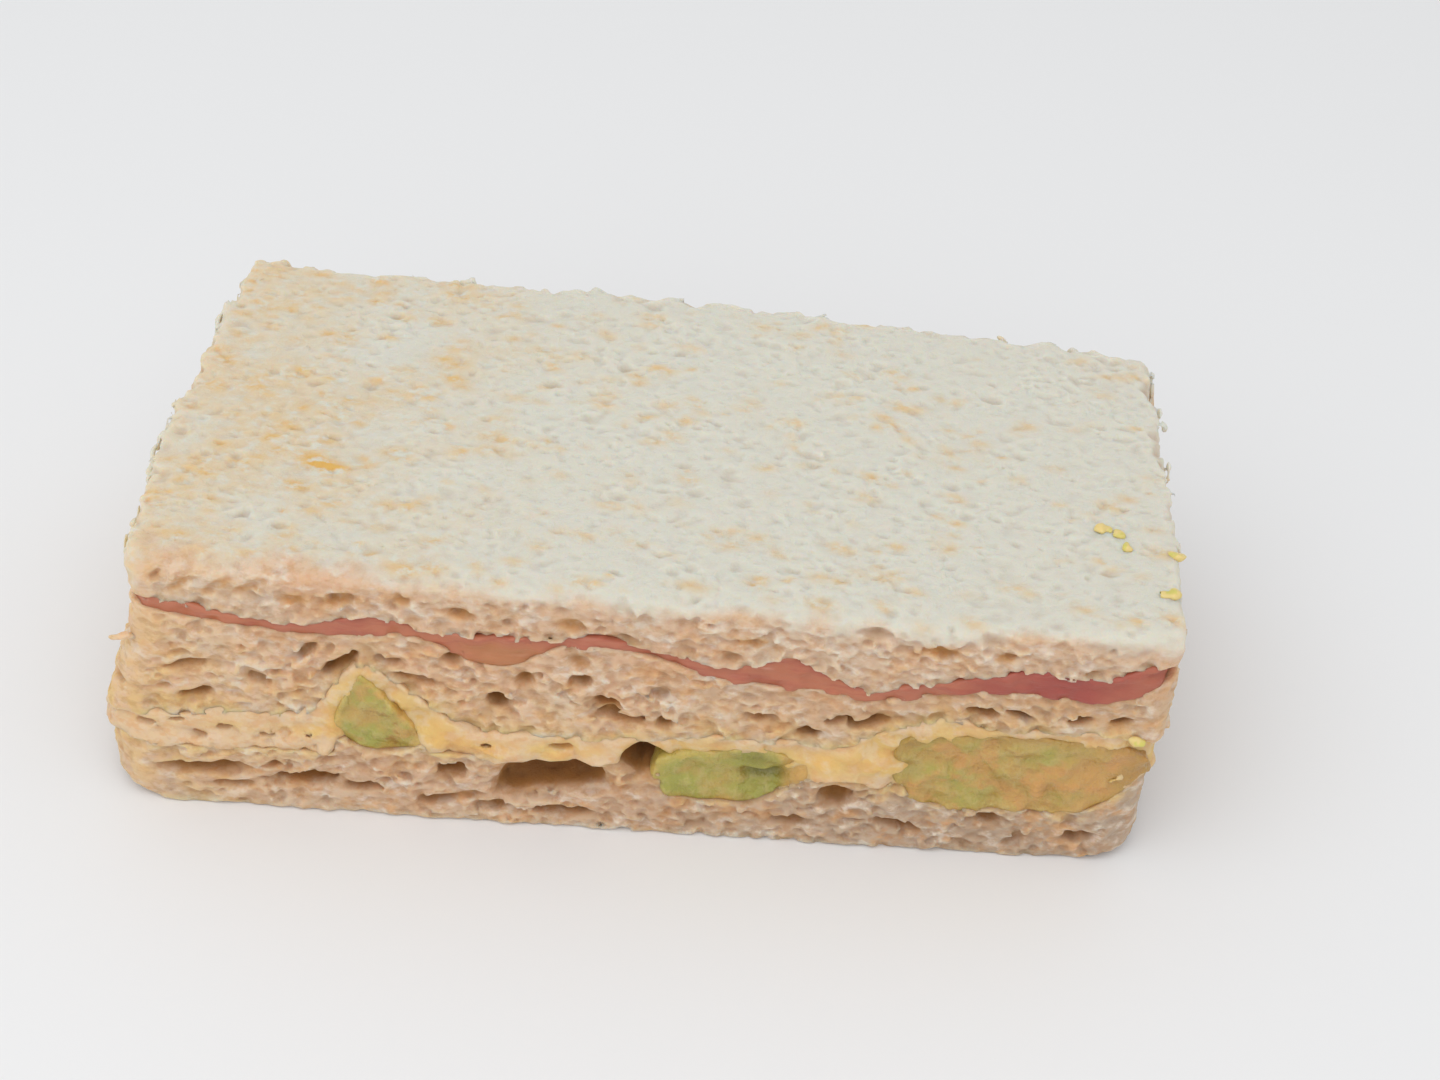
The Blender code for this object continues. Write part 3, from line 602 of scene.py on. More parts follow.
def layer_field(name, grid, edges, sideways=0.0, upward=0.0):
    """The field of a layer: its lower and upper edges rounded, its sides and its faces moved out by amounts."""
    plan, low, high = LAYERS[name]
    x, y = grid.plane()
    z = grid.upright()
    floor, ceiling = (face(x, y).astype(np.float32)[..., None] for face in (low, high))
    across = np.maximum(floor - z, z - ceiling) - upward
    lower_edge, upper_edge = edges
    edge = np.where(z > (floor + ceiling) / 2, np.float32(upper_edge), np.float32(lower_edge))
    return rounded_corner(outside_plan(plan, x, y).astype(np.float32)[..., None] - sideways, across, edge)


def wall_axes(along, tilt):
    """Axes of a pore in a wall: along it, tilted by an angle in degrees, into it, and square to both."""
    c, s = math.cos(math.radians(tilt)), math.sin(math.radians(tilt))
    run = (along[0] * c, along[1] * c, s)
    rise = (-along[0] * s, -along[1] * s, c)
    return run, (-along[1], along[0], 0.0), rise


def wall_pores(name, grid, field, crumb):
    """Opens a seeded scatter of pores in all four sides of a slice: some larger ones, then many fine ones."""
    plan, low, high = LAYERS[name]
    nature = SLICE_CRUMB[name]
    draw = np.random.default_rng(nature["seed"])
    lengths = np.array(list(WALL_SIDES.values()))
    drawn = draw.choice(len(lengths), crumb.pores + crumb.fine_pores, p=lengths / lengths.sum())
    for number, side_index in enumerate(drawn):
        side = list(WALL_SIDES)[side_index]
        x, y, along = wall_place(plan, side, draw.uniform(0.03, 0.97))
        floor, ceiling = float(low(x, y)), float(high(x, y))
        half = draw.uniform(*FINE_PORE_HALVES)
        if number < crumb.pores:
            half = float(np.clip(crumb.pore_half * math.exp(draw.normal(0.0, 0.40)), *LARGER_PORE_HALVES))
        lowest = 0.7 * half if name == "bottom" else 0.0
        z = floor + lowest + (ceiling - floor - lowest) * draw.uniform(0.02, 0.98)
        flat = nature["flatness"] * draw.uniform(0.75, 1.3)
        leaning = smoothstep((LEANING_FROM_X - x) / LEANING_LENGTH)
        tilt = nature["tilt"][0] * leaning + nature["tilt"][1] * (1 - leaning) + draw.normal(0.0, 13.0)
        deep = half * draw.uniform(0.45, 0.9) * (0.5 if name == "top" and side != "front" else 1.0)
        inward = draw.uniform(-0.1, 0.5) * deep
        x, y = x - along[1] * math.copysign(inward, x), y - along[0] * math.copysign(inward, y)
        radii = (half, deep, max(half * flat, LEAST_HALF_HEIGHT))
        grid.hollow(field, (x, y, z), wall_axes(along, float(tilt)), radii)


def large_pores(name, grid, field):
    """Opens the large pores that show in the front cut of a layer."""
    plan = LAYERS[name][0]
    for x, z, half, half_height, deep, tilt in FRONT_PORES["all"] + FRONT_PORES[name]:
        _, y, along = wall_place(plan, "front", plan_share(plan, "left", "right", x))
        grid.hollow(field, (x, y + 0.2 * deep, z), wall_axes(along, tilt), (half, deep, half_height))


def top_pores(grid, field, crumb):
    """Opens the small shallow pores of the top face, longer than wide and mostly along the loaf."""
    plan, _, high = LAYERS["top"]
    draw = np.random.default_rng(TOP_PORE_SEED)
    for _ in range(crumb.top_pores):
        x = draw.uniform(plan["left"][0] - 1, plan["right"][0])
        y = draw.uniform(plan["front"][0], plan["back"][0])
        half = float(np.clip(crumb.top_pore_half * math.exp(draw.normal(0.0, 0.35)), *TOP_PORE_HALVES))
        turn = math.radians(draw.normal(-4.0, 22.0))
        run = (math.cos(turn), math.sin(turn), 0.0)
        level = (-run[1], run[0], 0.0)
        deep = half * draw.uniform(0.45, 0.8)
        z = float(high(np.float64(x), np.float64(y))) + draw.uniform(0.2, 0.6) * deep
        grid.hollow(field, (x, y, z), (run, level, (0.0, 0.0, 1.0)), (half, half * draw.uniform(0.45, 0.8), deep))


def lean(points):
    """Carries the left end further out the lower it is."""
    x, y, z = points.T
    far = LEFT_LEAN[0] + (LEFT_LEAN[1] - LEFT_LEAN[0]) * depth_share(y)
    near_end = smoothstep((LEAN_STARTS_X - x) / (LEAN_STARTS_X - TOP_PLAN["left"][0]))
    low_down = 1.0 - smoothstep((z - LEAN_LOW_Z) / (LEAN_HIGH_Z - LEAN_LOW_Z))
    return np.stack([x - far * near_end * low_down, y, z], -1)


def plain_mesh(name, points, faces):
    """A mesh of four-sided or three-sided faces from arrays."""
    mesh = bpy.data.meshes.new(name)
    sides = faces.shape[1]
    mesh.vertices.add(len(points))
    mesh.vertices.foreach_set("co", np.asarray(points, np.float32).ravel())
    mesh.loops.add(faces.size)
    mesh.loops.foreach_set("vertex_index", faces.astype(np.int32).ravel())
    mesh.polygons.add(len(faces))
    mesh.polygons.foreach_set("loop_start", np.arange(0, faces.size, sides, dtype=np.int32))
    mesh.update(calc_edges=True)
    return mesh


def mesh_points(mesh):
    flat = np.zeros(len(mesh.vertices) * 3, np.float32)
    mesh.vertices.foreach_get("co", flat)
    return flat.reshape(-1, 3).astype(float)


def finish_piece(name, points, faces, triangles, masks, material, nodes):
    """Thins the mesh to a number of triangles, adds its masks, leans it into place and ties it to the frame."""
    mesh = plain_mesh(name, points, faces)
    piece = bpy.data.objects.new(name, mesh)
    bpy.context.scene.collection.objects.link(piece)
    share = triangles / (2.0 * len(faces))
    if share < 1.0:
        fewer = piece.modifiers.new("Fewer faces", "DECIMATE")
        fewer.ratio = share
        fewer.use_collapse_triangulate = True
        thinned = piece.evaluated_get(bpy.context.evaluated_depsgraph_get())
        piece.data = bpy.data.meshes.new_from_object(thinned)
        piece.modifiers.clear()
        bpy.data.meshes.remove(mesh)
        mesh = piece.data
        mesh.name = name
    places = mesh_points(mesh)
    for mask, values in masks(places).items():
        mesh.attributes.new(mask, "FLOAT", "POINT").data.foreach_set("value", values.astype(np.float32))
    seated = (lean(places) - FOOTPRINT_MIDDLE) * MM
    mesh.vertices.foreach_set("co", seated.astype(np.float32).ravel())
    mesh.update()
    mesh.shade_smooth()
    mesh.materials.append(material)
    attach(piece, BODY)
    if nodes:
        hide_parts(*nodes)
    return piece


def uneven_at(points, name):
    """Smooth random values from about -1 to 1 at loose points."""
    size, seed = UNEVEN[name]
    low = points.min(0) - size
    grid = Grid(low, points.max(0) + size, size / 2.0)
    field = grid.lumps((size, size, size), seed)
    place = (points - grid.low) / grid.step
    cell = place.astype(int)
    t = place - cell
    value = 0.0
    for corner in itertools.product((0, 1), repeat=3):
        weight = np.where(corner, t, 1 - t)
        value = value + weight[:, 0] * weight[:, 1] * weight[:, 2] * field[tuple((cell + corner).T)]
    return value


def fleck_mask(points):
    """Strength of the amber flecks at points of the top face: the named ones, then a seeded scatter."""
    draw = np.random.default_rng(FLECK_SEED)
    flecks = list(TOP_FLECKS)
    for _ in range(FLECK_COUNT):
        x = draw.uniform(0.0, 1.0) ** 1.5 * 104.0 - 52.0
        flecks.append((x, draw.uniform(-28.0, 28.0), draw.uniform(0.45, 1.6), draw.uniform(0.15, 0.7)))
    order = np.argsort(points[:, 0])
    along = points[order, 0]
    mask = np.zeros(len(points))
    for x, y, half, strength in flecks:
        turn = math.radians(draw.normal(-8.0, 18.0))
        first, last = np.searchsorted(along, (x - 3.0 * half, x + 3.0 * half))
        near = order[first:last]
        dx, dy = points[near, 0] - x, points[near, 1] - y
        run = (dx * math.cos(turn) + dy * math.sin(turn)) / half
        side = (dy * math.cos(turn) - dx * math.sin(turn)) / (0.55 * half)
        mask[near] = np.maximum(mask[near], strength * np.exp(-run * run - side * side))
    return mask


def amber_mask(name, points):
    """Painted warm shade: amber in and around the large pores of the front cut."""
    mask = np.zeros(len(points))
    near = np.flatnonzero(points[:, 1] < -22.0)
    x, _, z = points[near].T
    strength = 0.95 if name == "top" else 0.5
    for px, pz, half, half_height, _, tilt in FRONT_PORES[name]:
        c, s = math.cos(math.radians(tilt)), math.sin(math.radians(tilt))
        run = ((x - px) * c + (z - pz) * s) / (1.15 * half)
        rise = ((z - pz) * c - (x - px) * s) / (1.5 * half_height)
        mask[near] = np.maximum(mask[near], strength * np.exp(-(run * run + rise * rise) ** 2))
    return mask


def bread_masks(name):
    """Where a slice is sunk in pores, with painted shade there, cut, with painted warm bounce light on the cut
    sides, soaked by the spread, touched by the ham, and where painted shade grows towards the right end, most on the
    lowest slice.
    """
    plan, low, high = LAYERS[name]

    def masks(p):
        x, y, z = p.T
        from_side = -outside_plan(plan, x, y)
        from_top = high(x, y) - z
        from_floor = z - low(x, y)
        sunk = np.minimum(from_side, from_top) if name == "top" else from_side
        wobble = uneven_at(p, "crumb")
        # The first two masks are painted shade: the crumb turns dark brown the deeper a point lies in a pore.
        values = {"pore": np.clip((sunk - 0.15) / 1.9, 0.0, 1.0), "cave": smoothstep((sunk - 1.0) / 2.4)}
        cloudy = np.clip(0.55 + 0.8 * uneven_at(p, "clouds"), 0.0, 1.2) * smoothstep((-x - 2.0) / 34.0)
        amber = amber_mask(name, p)
        # Painted shade: the crumb darkens towards the right end, most on the lowest slice.
        least, most = {"top": (0.0, 0.1), "middle": (0.0, 0.5), "bottom": (0.45, 1.5)}[name]
        values["dusky"] = least + (most - least) * smoothstep((x + 25.0) / 65.0)
        # The cut mask carries the cut sides' peach crumb colour, which also paints warm bounce light on them.
        front = smoothstep((-y - 20.0) / 4.0) * (2.8 + 2.6 * smoothstep((-x - 20.0) / 14.0))
        cut = smoothstep((from_top - from_side + front - 1.3 + 1.3 * wobble) / 3.0)
        if name == "top":
            cut *= 1.0 - smoothstep((-x - 49.6) / 2.0) * smoothstep((z - 26.6) / 1.6)
        values["cut"] = 0.86 * cut if name == "top" else np.ones(len(p))
        # The fleck mask also carries the amber mask's painted warm shade around the large pores.
        values["fleck"] = np.maximum((fleck_mask(p) + 0.27 * cloudy) * (1 - cut) if name == "top" else 0.0, amber)
        to_spread = {"top": 1e3 + 0.0 * x, "middle": from_floor, "bottom": from_top}[name]
        to_ham = {"top": from_floor, "middle": from_top, "bottom": 1e3 + 0.0 * x}[name]
        left_end = smoothstep((-x - 36.0) / 14.0) * (0.3 if name == "top" else 0.6)
        reach = {"top": 1.0, "middle": 2.6, "bottom": 1.0}[name]
        values["soaked"] = np.clip(np.exp(-np.maximum(to_spread + 1.2 * wobble, 0.0) / reach) + left_end, 0.0, 1.0)
        values["blushed"] = np.exp(-np.maximum(to_ham + 0.3 * wobble, 0.0) / 0.9)
        return values

    return masks


def fruit_masks(name):
    """Where a pineapple length gets painted shade in and over its hollow, ripe at its tip, and tinged at its rim."""
    fruit = FRUITS[name]

    def masks(p):
        x, y, z = p.T
        dark, tip = np.zeros(len(p)), np.zeros(len(p))
        wide, strength = fruit["rim"]
        # dark is painted shade in and over the hollow of the middle length.
        if name == "pineapple_centre":
            for px, pz, half, tall, shade in FRUIT_SHADES:
                dark = np.maximum(dark, shade * np.exp(-((x - px) / half) ** 2 - ((z - pz) / tall) ** 2))
            tip = smoothstep((x - 13.4 + 0.6 * uneven_at(p, "middle tip")) / 2.2)
        elif name == "pineapple_right":
            tip = 0.12 + 0.7 * smoothstep((x - 41.0 + 2.0 * uneven_at(p, "right tip")) / 5.0)
            strength = strength * smoothstep((z - np.mean(fruit["low"])) / 5.0)
        deep = fruit_body(fruit, x, y, z) + 0.5 * uneven_at(p, "rim")
        return {"core": dark * (y < -20), "tip": tip, "rim": smoothstep((deep + wide) / wide) * strength}

    return masks


def node(tree, kind, settings=None, **inputs):
    """Adds a node, sets its properties and its inputs: a value is set, an output is linked."""
    made = tree.nodes.new(kind)
    for key, value in (settings or {}).items():
        setattr(made, key, value)
    for key, value in inputs.items():
        socket = made.inputs[key.replace("_", " ")] if not key[1:].isdigit() else made.inputs[int(key[1:])]
        if isinstance(value, bpy.types.NodeSocket):
            tree.links.new(value, socket)
        else:
            socket.default_value = value
    return made


def grain_group():
    """Uneven grain that bread, ham, spread and fruit all have: a mask and a height, stretched as asked."""
    group = bpy.data.node_groups.get("Food grain")
    if group:
        return group
    group = bpy.data.node_groups.new("Food grain", "ShaderNodeTree")
    face = group.interface
    face.new_socket("Stretch", in_out="INPUT", socket_type="NodeSocketVector").default_value = (1.0, 1.0, 1.0)
    for label, value in (("Scale", 1000.0), ("Detail", 3.0), ("From", 0.35), ("To", 0.65)):
        face.new_socket(label, in_out="INPUT", socket_type="NodeSocketFloat").default_value = value
    face.new_socket("Mask", in_out="OUTPUT", socket_type="NodeSocketFloat")
    face.new_socket("Height", in_out="OUTPUT", socket_type="NodeSocketFloat")
    given = group.nodes.new("NodeGroupInput")
    result = group.nodes.new("NodeGroupOutput")
    places = node(group, "ShaderNodeTexCoord")
    stretched = node(group, "ShaderNodeVectorMath", {"operation": "MULTIPLY"},
                     _0=places.outputs["Object"], _1=given.outputs["Stretch"])
    noise = node(group, "ShaderNodeTexNoise", None, Vector=stretched.outputs[0], Scale=given.outputs["Scale"],
                 Detail=given.outputs["Detail"], Roughness=0.6)
    ranged = node(group, "ShaderNodeMapRange", {"interpolation_type": "SMOOTHSTEP"},
                  Value=noise.outputs["Fac"], From_Min=given.outputs["From"], From_Max=given.outputs["To"])
    group.links.new(ranged.outputs["Result"], result.inputs["Mask"])
    group.links.new(noise.outputs["Fac"], result.inputs["Height"])
    return group


def grain(tree, name, later=0.0):
    """Places the shared grain in a material, its mask starting and ending later: its mask and its height."""
    scale, stretch, detail, low, high = GRAINS[name]
    made = tree.nodes.new("ShaderNodeGroup")
    made.node_tree = grain_group()
    for label, value in (("Stretch", stretch), ("Scale", scale), ("Detail", detail), ("From", low + later),
                         ("To", high + later)):
        made.inputs[label].default_value = value
    return made.outputs["Mask"], made.outputs["Height"]


def mixed(tree, share, first, second):
    """Blends two colours by a mask."""
    made = node(tree, "ShaderNodeMix", {"data_type": "RGBA"})
    for socket, value in ((made.inputs[0], share), (made.inputs[6], first), (made.inputs[7], second)):
        if isinstance(value, bpy.types.NodeSocket):
            tree.links.new(value, socket)
        else:
            socket.default_value = (*value, 1.0) if hasattr(value, "__len__") else value
    return made.outputs[2]


def product(tree, first, second, clamped=False):
    """Multiplies two values."""
    settings = {"operation": "MULTIPLY", "use_clamp": clamped}
    return node(tree, "ShaderNodeMath", settings, _0=first, _1=second).outputs[0]


def layered(tree, colour, layers):
    """Lays colours over a first one, each by its mask: a grain's or a mesh's by name, or one that is made."""
    for mask, strength, over in layers:
        if isinstance(mask, str):
            mask = grain(tree, mask)[0] if mask in GRAINS else mask_of(tree, mask)
        share = mask if strength is None else product(tree, mask, strength, True)
        colour = mixed(tree, share, colour, over)
    return colour


def mask_of(tree, name):
    """A mask that finish_piece stored at the mesh's points."""
    return node(tree, "ShaderNodeAttribute", {"attribute_name": name}).outputs["Fac"]


def new_material(name):
    material = bpy.data.materials.new(name)
    material.use_nodes = True
    return material, material.node_tree, material.node_tree.nodes["Principled BSDF"]


def set_surface(tree, shader, colour, inside, **values):
    """Sets a colour, the weight, radius and scale of the light inside, and other inputs with _ for a space."""
    tree.links.new(colour, shader.inputs["Base Color"])
    for label, value in zip(("Weight", "Radius", "Scale"), inside):
        shader.inputs["Subsurface " + label].default_value = value
    for key, value in values.items():
        shader.inputs[key.replace("_", " ")].default_value = value


def bump(tree, shader, height, strength, distance):
    made = node(tree, "ShaderNodeBump", None, Strength=strength, Distance=distance, Height=height)
    tree.links.new(made.outputs["Normal"], shader.inputs["Normal"])


def crumb_material(look):
    """Bread crumb: pale on the sliced face, peach in the cut with painted warm bounce light, painted brown shade in
    the pores, tinted by its neighbours.
    """
    material, tree, shader = new_material("Bread crumb")
    flecks = product(tree, mask_of(tree, "fleck"), grain(tree, "broken flecks")[0])
    soaked = product(tree, mask_of(tree, "soaked"), grain(tree, "soaked blots")[0])
    speckled = product(tree, grain(tree, "mottle")[0], mask_of(tree, "cut"))
    # The cut colour is the crumb with painted warm bounce light; the layer that darkens towards the right end is
    # painted shade, and the flecks carry painted warm shade around the large pores.
    cut = layered(tree, look.cut, (
        ("clouds", None, look.cut_warm), (flecks, 0.75, look.amber), ("dusky", 0.6, look.dusky),
        ("pale blots", 0.75, look.cut_pale), ("amber blots", 0.52, look.amber)))
    # The pore and cave layers are painted shade, browner the deeper in a pore; speckled lays the same pore shade
    # colour in random fine specks over the cut.
    colour = layered(tree, mixed(tree, flecks, look.face, look.fleck), (
        ("cut", None, cut), (soaked, 1.0, look.soaked), ("blushed", 0.55, look.blushed), ("pore", None, look.pore),
        ("cave", None, look.cave), (speckled, 0.32, look.pore)))
    set_surface(tree, shader, colour, (0.65, (1.0, 0.62, 0.38), 0.0026), Roughness=0.88, Specular_IOR_Level=0.25)
    bump(tree, shader, grain(tree, "fine crumb")[1], 0.55, 0.00025)
    return material


def ham_material(look):
    """Cured ham: dusty pink to deep red, with pale streaks of fat and a moist film."""
    material, tree, shader = new_material("Cured ham")
    colour = layered(tree, look.ham_pale, (
        ("ham patches", None, look.ham), ("deep", None, look.ham_deep), ("ham fat", 0.45, look.ham_fat),
        ("ham lines", 0.4, look.ham_deep), ("flap", 0.7, look.ham_brown)))
    set_surface(tree, shader, colour, (0.30, (1.0, 0.35, 0.25), 0.0010))
    film, height = grain(tree, "ham film")
    rough = node(tree, "ShaderNodeMapRange", None, Value=film, To_Min=0.34, To_Max=0.55)
    tree.links.new(rough.outputs["Result"], shader.inputs["Roughness"])
    bump(tree, shader, height, 0.45, 0.0003)
    return material


def spread_material(look):
    """Creamy spread: pale yellow, with warmer patches, crumbs mixed in at its edges and a soft sheen."""
    material, tree, shader = new_material("Creamy spread")
    speckled = product(tree, grain(tree, "mottle")[0], mask_of(tree, "crumbed"))
    # The last two layers are painted shade: amber, then dark brown, the deeper a point lies in a pore.
    colour = layered(tree, look.spread, (
        ("spread patches", 0.8, look.spread_warm), ("spread crumbs", 0.3, look.cut_pale),
        ("crumbed", 0.72, look.cut), ("spread blots", 0.40, look.amber), (speckled, 0.45, look.amber),
        ("pore", None, look.amber), ("cave", None, look.cave)))
    set_surface(tree, shader, colour, (0.35, (1.0, 0.65, 0.30), 0.0014), Roughness=0.6)
    bump(tree, shader, grain(tree, "spread lumps")[1], 0.7, 0.00045)
    return material


def fruit_material(name, look, fruit):
    """Pineapple flesh: green and yellow by ripeness, with fibres and a wet surface."""
    material, tree, shader = new_material(name)
    patches = grain(tree, "fruit patches", 0.22 * (1 - fruit["ripe"]))[0]
    fibres, height = grain(tree, "fibres")
    # The last layer lays painted shade in and over the middle length's hollow.
    colour = layered(tree, look.fruit_green, (
        (patches, None, look.fruit_yellow), (fibres, 0.42, look.fruit_pale),
        ("ripe blots", fruit["ripe"], look.fruit_ripe), ("bruises", fruit["bruised"], look.fruit_dark),
        ("tip", 0.75, look.fruit_ripe), ("rim", 0.6, getattr(look, fruit["tinge"])),
        ("core", None, look.fruit_hollow_shade)))
    set_surface(tree, shader, colour, (0.35, (1.0, 0.8, 0.25), 0.0022), Roughness=0.34, Coat_Weight=0.25)
    bump(tree, shader, height, 0.9, 0.0006)
    return material


def bit_material(look):
    """Bits of fruit that lie on the crumb: yellow with a green tinge."""
    material, tree, shader = new_material("Yellow bits")
    colour = layered(tree, look.bit_yellow, (("green tinge", None, look.bit_green),))
    set_surface(tree, shader, colour, (0.4, (1.0, 0.8, 0.4), 0.001), Roughness=0.5)
    return material


def tint(name, description, value):
    """A colour that the panel shows."""
    return FloatVectorProperty(name=name, description=description, subtype="COLOR", size=3, min=0.0, max=1.0,
                               default=value)


class SandwichCrumb(bpy.types.PropertyGroup):
    """Sizes of the bread's open crumb."""

    step: FloatProperty(name="Grid step", description="Spacing of the sample points, in millimetres",
                        default=0.25, min=0.2, max=1.0)
    pores: IntProperty(name="Pores", description="Larger pores scattered in the four cut sides", default=230)
    fine_pores: IntProperty(name="Fine pores", description="Fine pores in the four cut sides", default=6200)
    pore_half: FloatProperty(name="Pore half length", description="Middling half length of a pore, in millimetres",
                             default=0.62, min=0.2, max=2.0)
    top_pores: IntProperty(name="Top pores", description="Shallow pores in the top face", default=6500)
    top_pore_half: FloatProperty(name="Top pore half length", description="Middling half length, in millimetres",
                                 default=0.38, min=0.2, max=2.0)
    torn: FloatProperty(name="Torn height", description="How far torn crumb stands out, in millimetres",
                        default=0.20, min=0.0, max=1.0)
    pits: FloatProperty(name="Pit depth", description="Depth of the finest open cells, in millimetres",
                        default=0.22, min=0.0, max=1.0)
    triangles_top: IntProperty(name="Top triangles", description="Triangles kept of the top slice", default=190000)
    triangles: IntProperty(name="Triangles", description="Triangles kept of each other slice", default=120000)


class SandwichLook(bpy.types.PropertyGroup):
    """Colours of the bread, ham, spread and fruit."""

    face: tint("Sliced face", "Crumb on the top face", (0.655, 0.640, 0.555))
    fleck: tint("Flecks", "Amber flecks in the crumb", (0.70, 0.42, 0.12))
    # The crumb's colour in the cut sides, with painted warm bounce light: warmer than the top face.
    cut: tint("Cut", "Crumb in the cut sides", (0.70, 0.52, 0.37))
    cut_warm: tint("Warm cut", "Warmer crumb in the cut sides", (0.68, 0.43, 0.27))
    cut_pale: tint("Pale cut", "Paler crumb in the cut sides", (0.74, 0.65, 0.55))
    # Painted shade far inside the largest pores.
    cave: tint("Cave", "Crumb far inside the largest pores", (0.30, 0.14, 0.048))
    # Amber: the crumb's random blots, and painted warm shade in and around the large pores and in the spread's
    # pores.
    amber: tint("Amber pores", "Crumb around the large pores", (0.66, 0.33, 0.12))
    # Painted shade towards the right end and on the lowest slice.
    dusky: tint("Dusky crumb", "Greyer crumb at the right end", (0.45, 0.35, 0.265))
    soaked: tint("Soaked crumb", "Crumb beside the spread", (0.72, 0.49, 0.23))
    blushed: tint("Blushed crumb", "Crumb beside the ham", (0.70, 0.43, 0.29))
    # Painted shade deep in the pores.
    pore: tint("Pore", "Crumb deep in the pores", (0.38, 0.17, 0.045))
    ham: tint("Ham", "Lean ham", (0.45, 0.15, 0.085))
    ham_pale: tint("Pale ham", "Paler ham", (0.485, 0.17, 0.088))
    ham_deep: tint("Deep ham", "Folded ham that looks deep red", (0.36, 0.075, 0.055))
    ham_brown: tint("Brown ham", "Ham where it folds under", (0.47, 0.20, 0.075))
    ham_fat: tint("Ham fat", "Streaks of fat", (0.72, 0.45, 0.34))
    spread: tint("Spread", "Creamy spread", (0.72, 0.485, 0.16))
    spread_warm: tint("Warm spread", "Warmer patches of spread", (0.74, 0.44, 0.13))
    fruit_green: tint("Green fruit", "Underripe flesh", (0.36, 0.345, 0.065))
    fruit_yellow: tint("Yellow fruit", "Ripe flesh", (0.51, 0.325, 0.085))
    fruit_pale: tint("Fibres", "Pale fibres", (0.54, 0.44, 0.17))
    fruit_ripe: tint("Ripe tips", "Orange ripe flesh", (0.60, 0.30, 0.09))
    fruit_dark: tint("Bruised fruit", "Brown and olive flecks", (0.36, 0.20, 0.04))
    bit_yellow: tint("Yellow bits", "Bits of ripe fruit", (0.75, 0.58, 0.235))
    bit_green: tint("Green bits", "Bits of green fruit", (0.62, 0.56, 0.14))
    # Painted shade: the dark green laid in and over the middle length's hollow.
    fruit_hollow_shade: tint("Fruit hollow", "Dark green hollow", (0.17, 0.15, 0.01))


class SANDWICH_OT_bread(bpy.types.Operator):
    """Build one bread slice with open pores in its cut sides"""

    bl_idname = "sandwich.bread"
    bl_label = "Bread slice"

    layer: EnumProperty(name="Slice", description="Which slice to build",
                        items=[(name, name.title(), "The %s slice" % name) for name in SLICES])

    def execute(self, context):
        crumb = context.scene.sandwich_crumb
        name = self.layer
        grid = layer_grid(name, crumb.step)
        x, y = grid.plane()
        ragged = crumb.torn * grid.relief("torn")
        uneven, pits = 0.05, crumb.pits
        if name == "top":
            tufted = smoothstep(np.maximum((y + 20.0) / 16.0, (-44.0 - x) / 6.0)) * smoothstep((y + 26.0) / 6.0)
            ragged = ragged + tufted.astype(np.float32)[..., None] * grid.relief("tufts")
            uneven = grid.relief("sliced face")
            pits = crumb.pits * (1.0 - 0.45 * smoothstep((grid.upright() - 28.6) / 1.2))
        field = layer_field(name, grid, SLICE_CRUMB[name]["edges"], ragged, uneven)
        wall_pores(name, grid, field, crumb)
        large_pores(name, grid, field)
        if name == "top":
            top_pores(grid, field, crumb)
        field += pits * np.clip(grid.relief("open cells"), 0.0, None)
        if name != "top":
            cut_for_fruit(grid, field, RIM_LAP)
        if name == "bottom":
            field = np.maximum(field, BREAD_LIFT - grid.upright())
        points, faces = grid.surface(field)
        material = bpy.data.materials.get("Bread crumb") or crumb_material(context.scene.sandwich_look)
        triangles = crumb.triangles_top if name == "top" else crumb.triangles
        finish_piece("crumb_" + name, points, faces, triangles, bread_masks(name), material,
                     ["bread_" + name])
        return {"FINISHED"}


class SANDWICH_OT_ham(bpy.types.Operator):
    """Build the folded prosciutto"""

    bl_idname = "sandwich.ham"
    bl_label = "Prosciutto"

    def execute(self, context):
        grid = layer_grid("ham", HAM_STEP)
        x, y = grid.plane()
        low, high = ham_low(x, y), ham_high(x, y)
        z = grid.upright()
        middle = (low + high)[..., None] / 2.0 + grid.relief("ham fold")
        fold = smoothstep((high - low - 2.3) / 1.0)[..., None] * np.exp(-((z - middle) / 0.35) ** 2)
        sideways = grid.relief("ham sides") - 0.16 - 0.14 * fold
        upward = 0.12 + grid.relief("ham faces")
        field = layer_field("ham", grid, (0.2, 0.2), sideways, upward) + grid.relief("ham skin")
        points, faces = grid.surface(field)

        def masks(p):
            x, y, z = p.T
            right = smoothstep((x - 27.0) / 9.0) * (1.0 - 0.45 * smoothstep((x - 46.5) / 3.0))
            flap = np.exp(-((x + 14.5) / 4.5) ** 4) * smoothstep((24.2 + 0.5 * uneven_at(p, "flap") - z) / 0.9)
            return {"deep": np.clip(right * (0.8 + 0.35 * uneven_at(p, "ham")), 0.0, 1.0), "flap": flap}

        finish_piece("ham_sheet", points, faces, HAM_TRIANGLES, masks, ham_material(context.scene.sandwich_look),
                     ["prosciutto"])
        return {"FINISHED"}


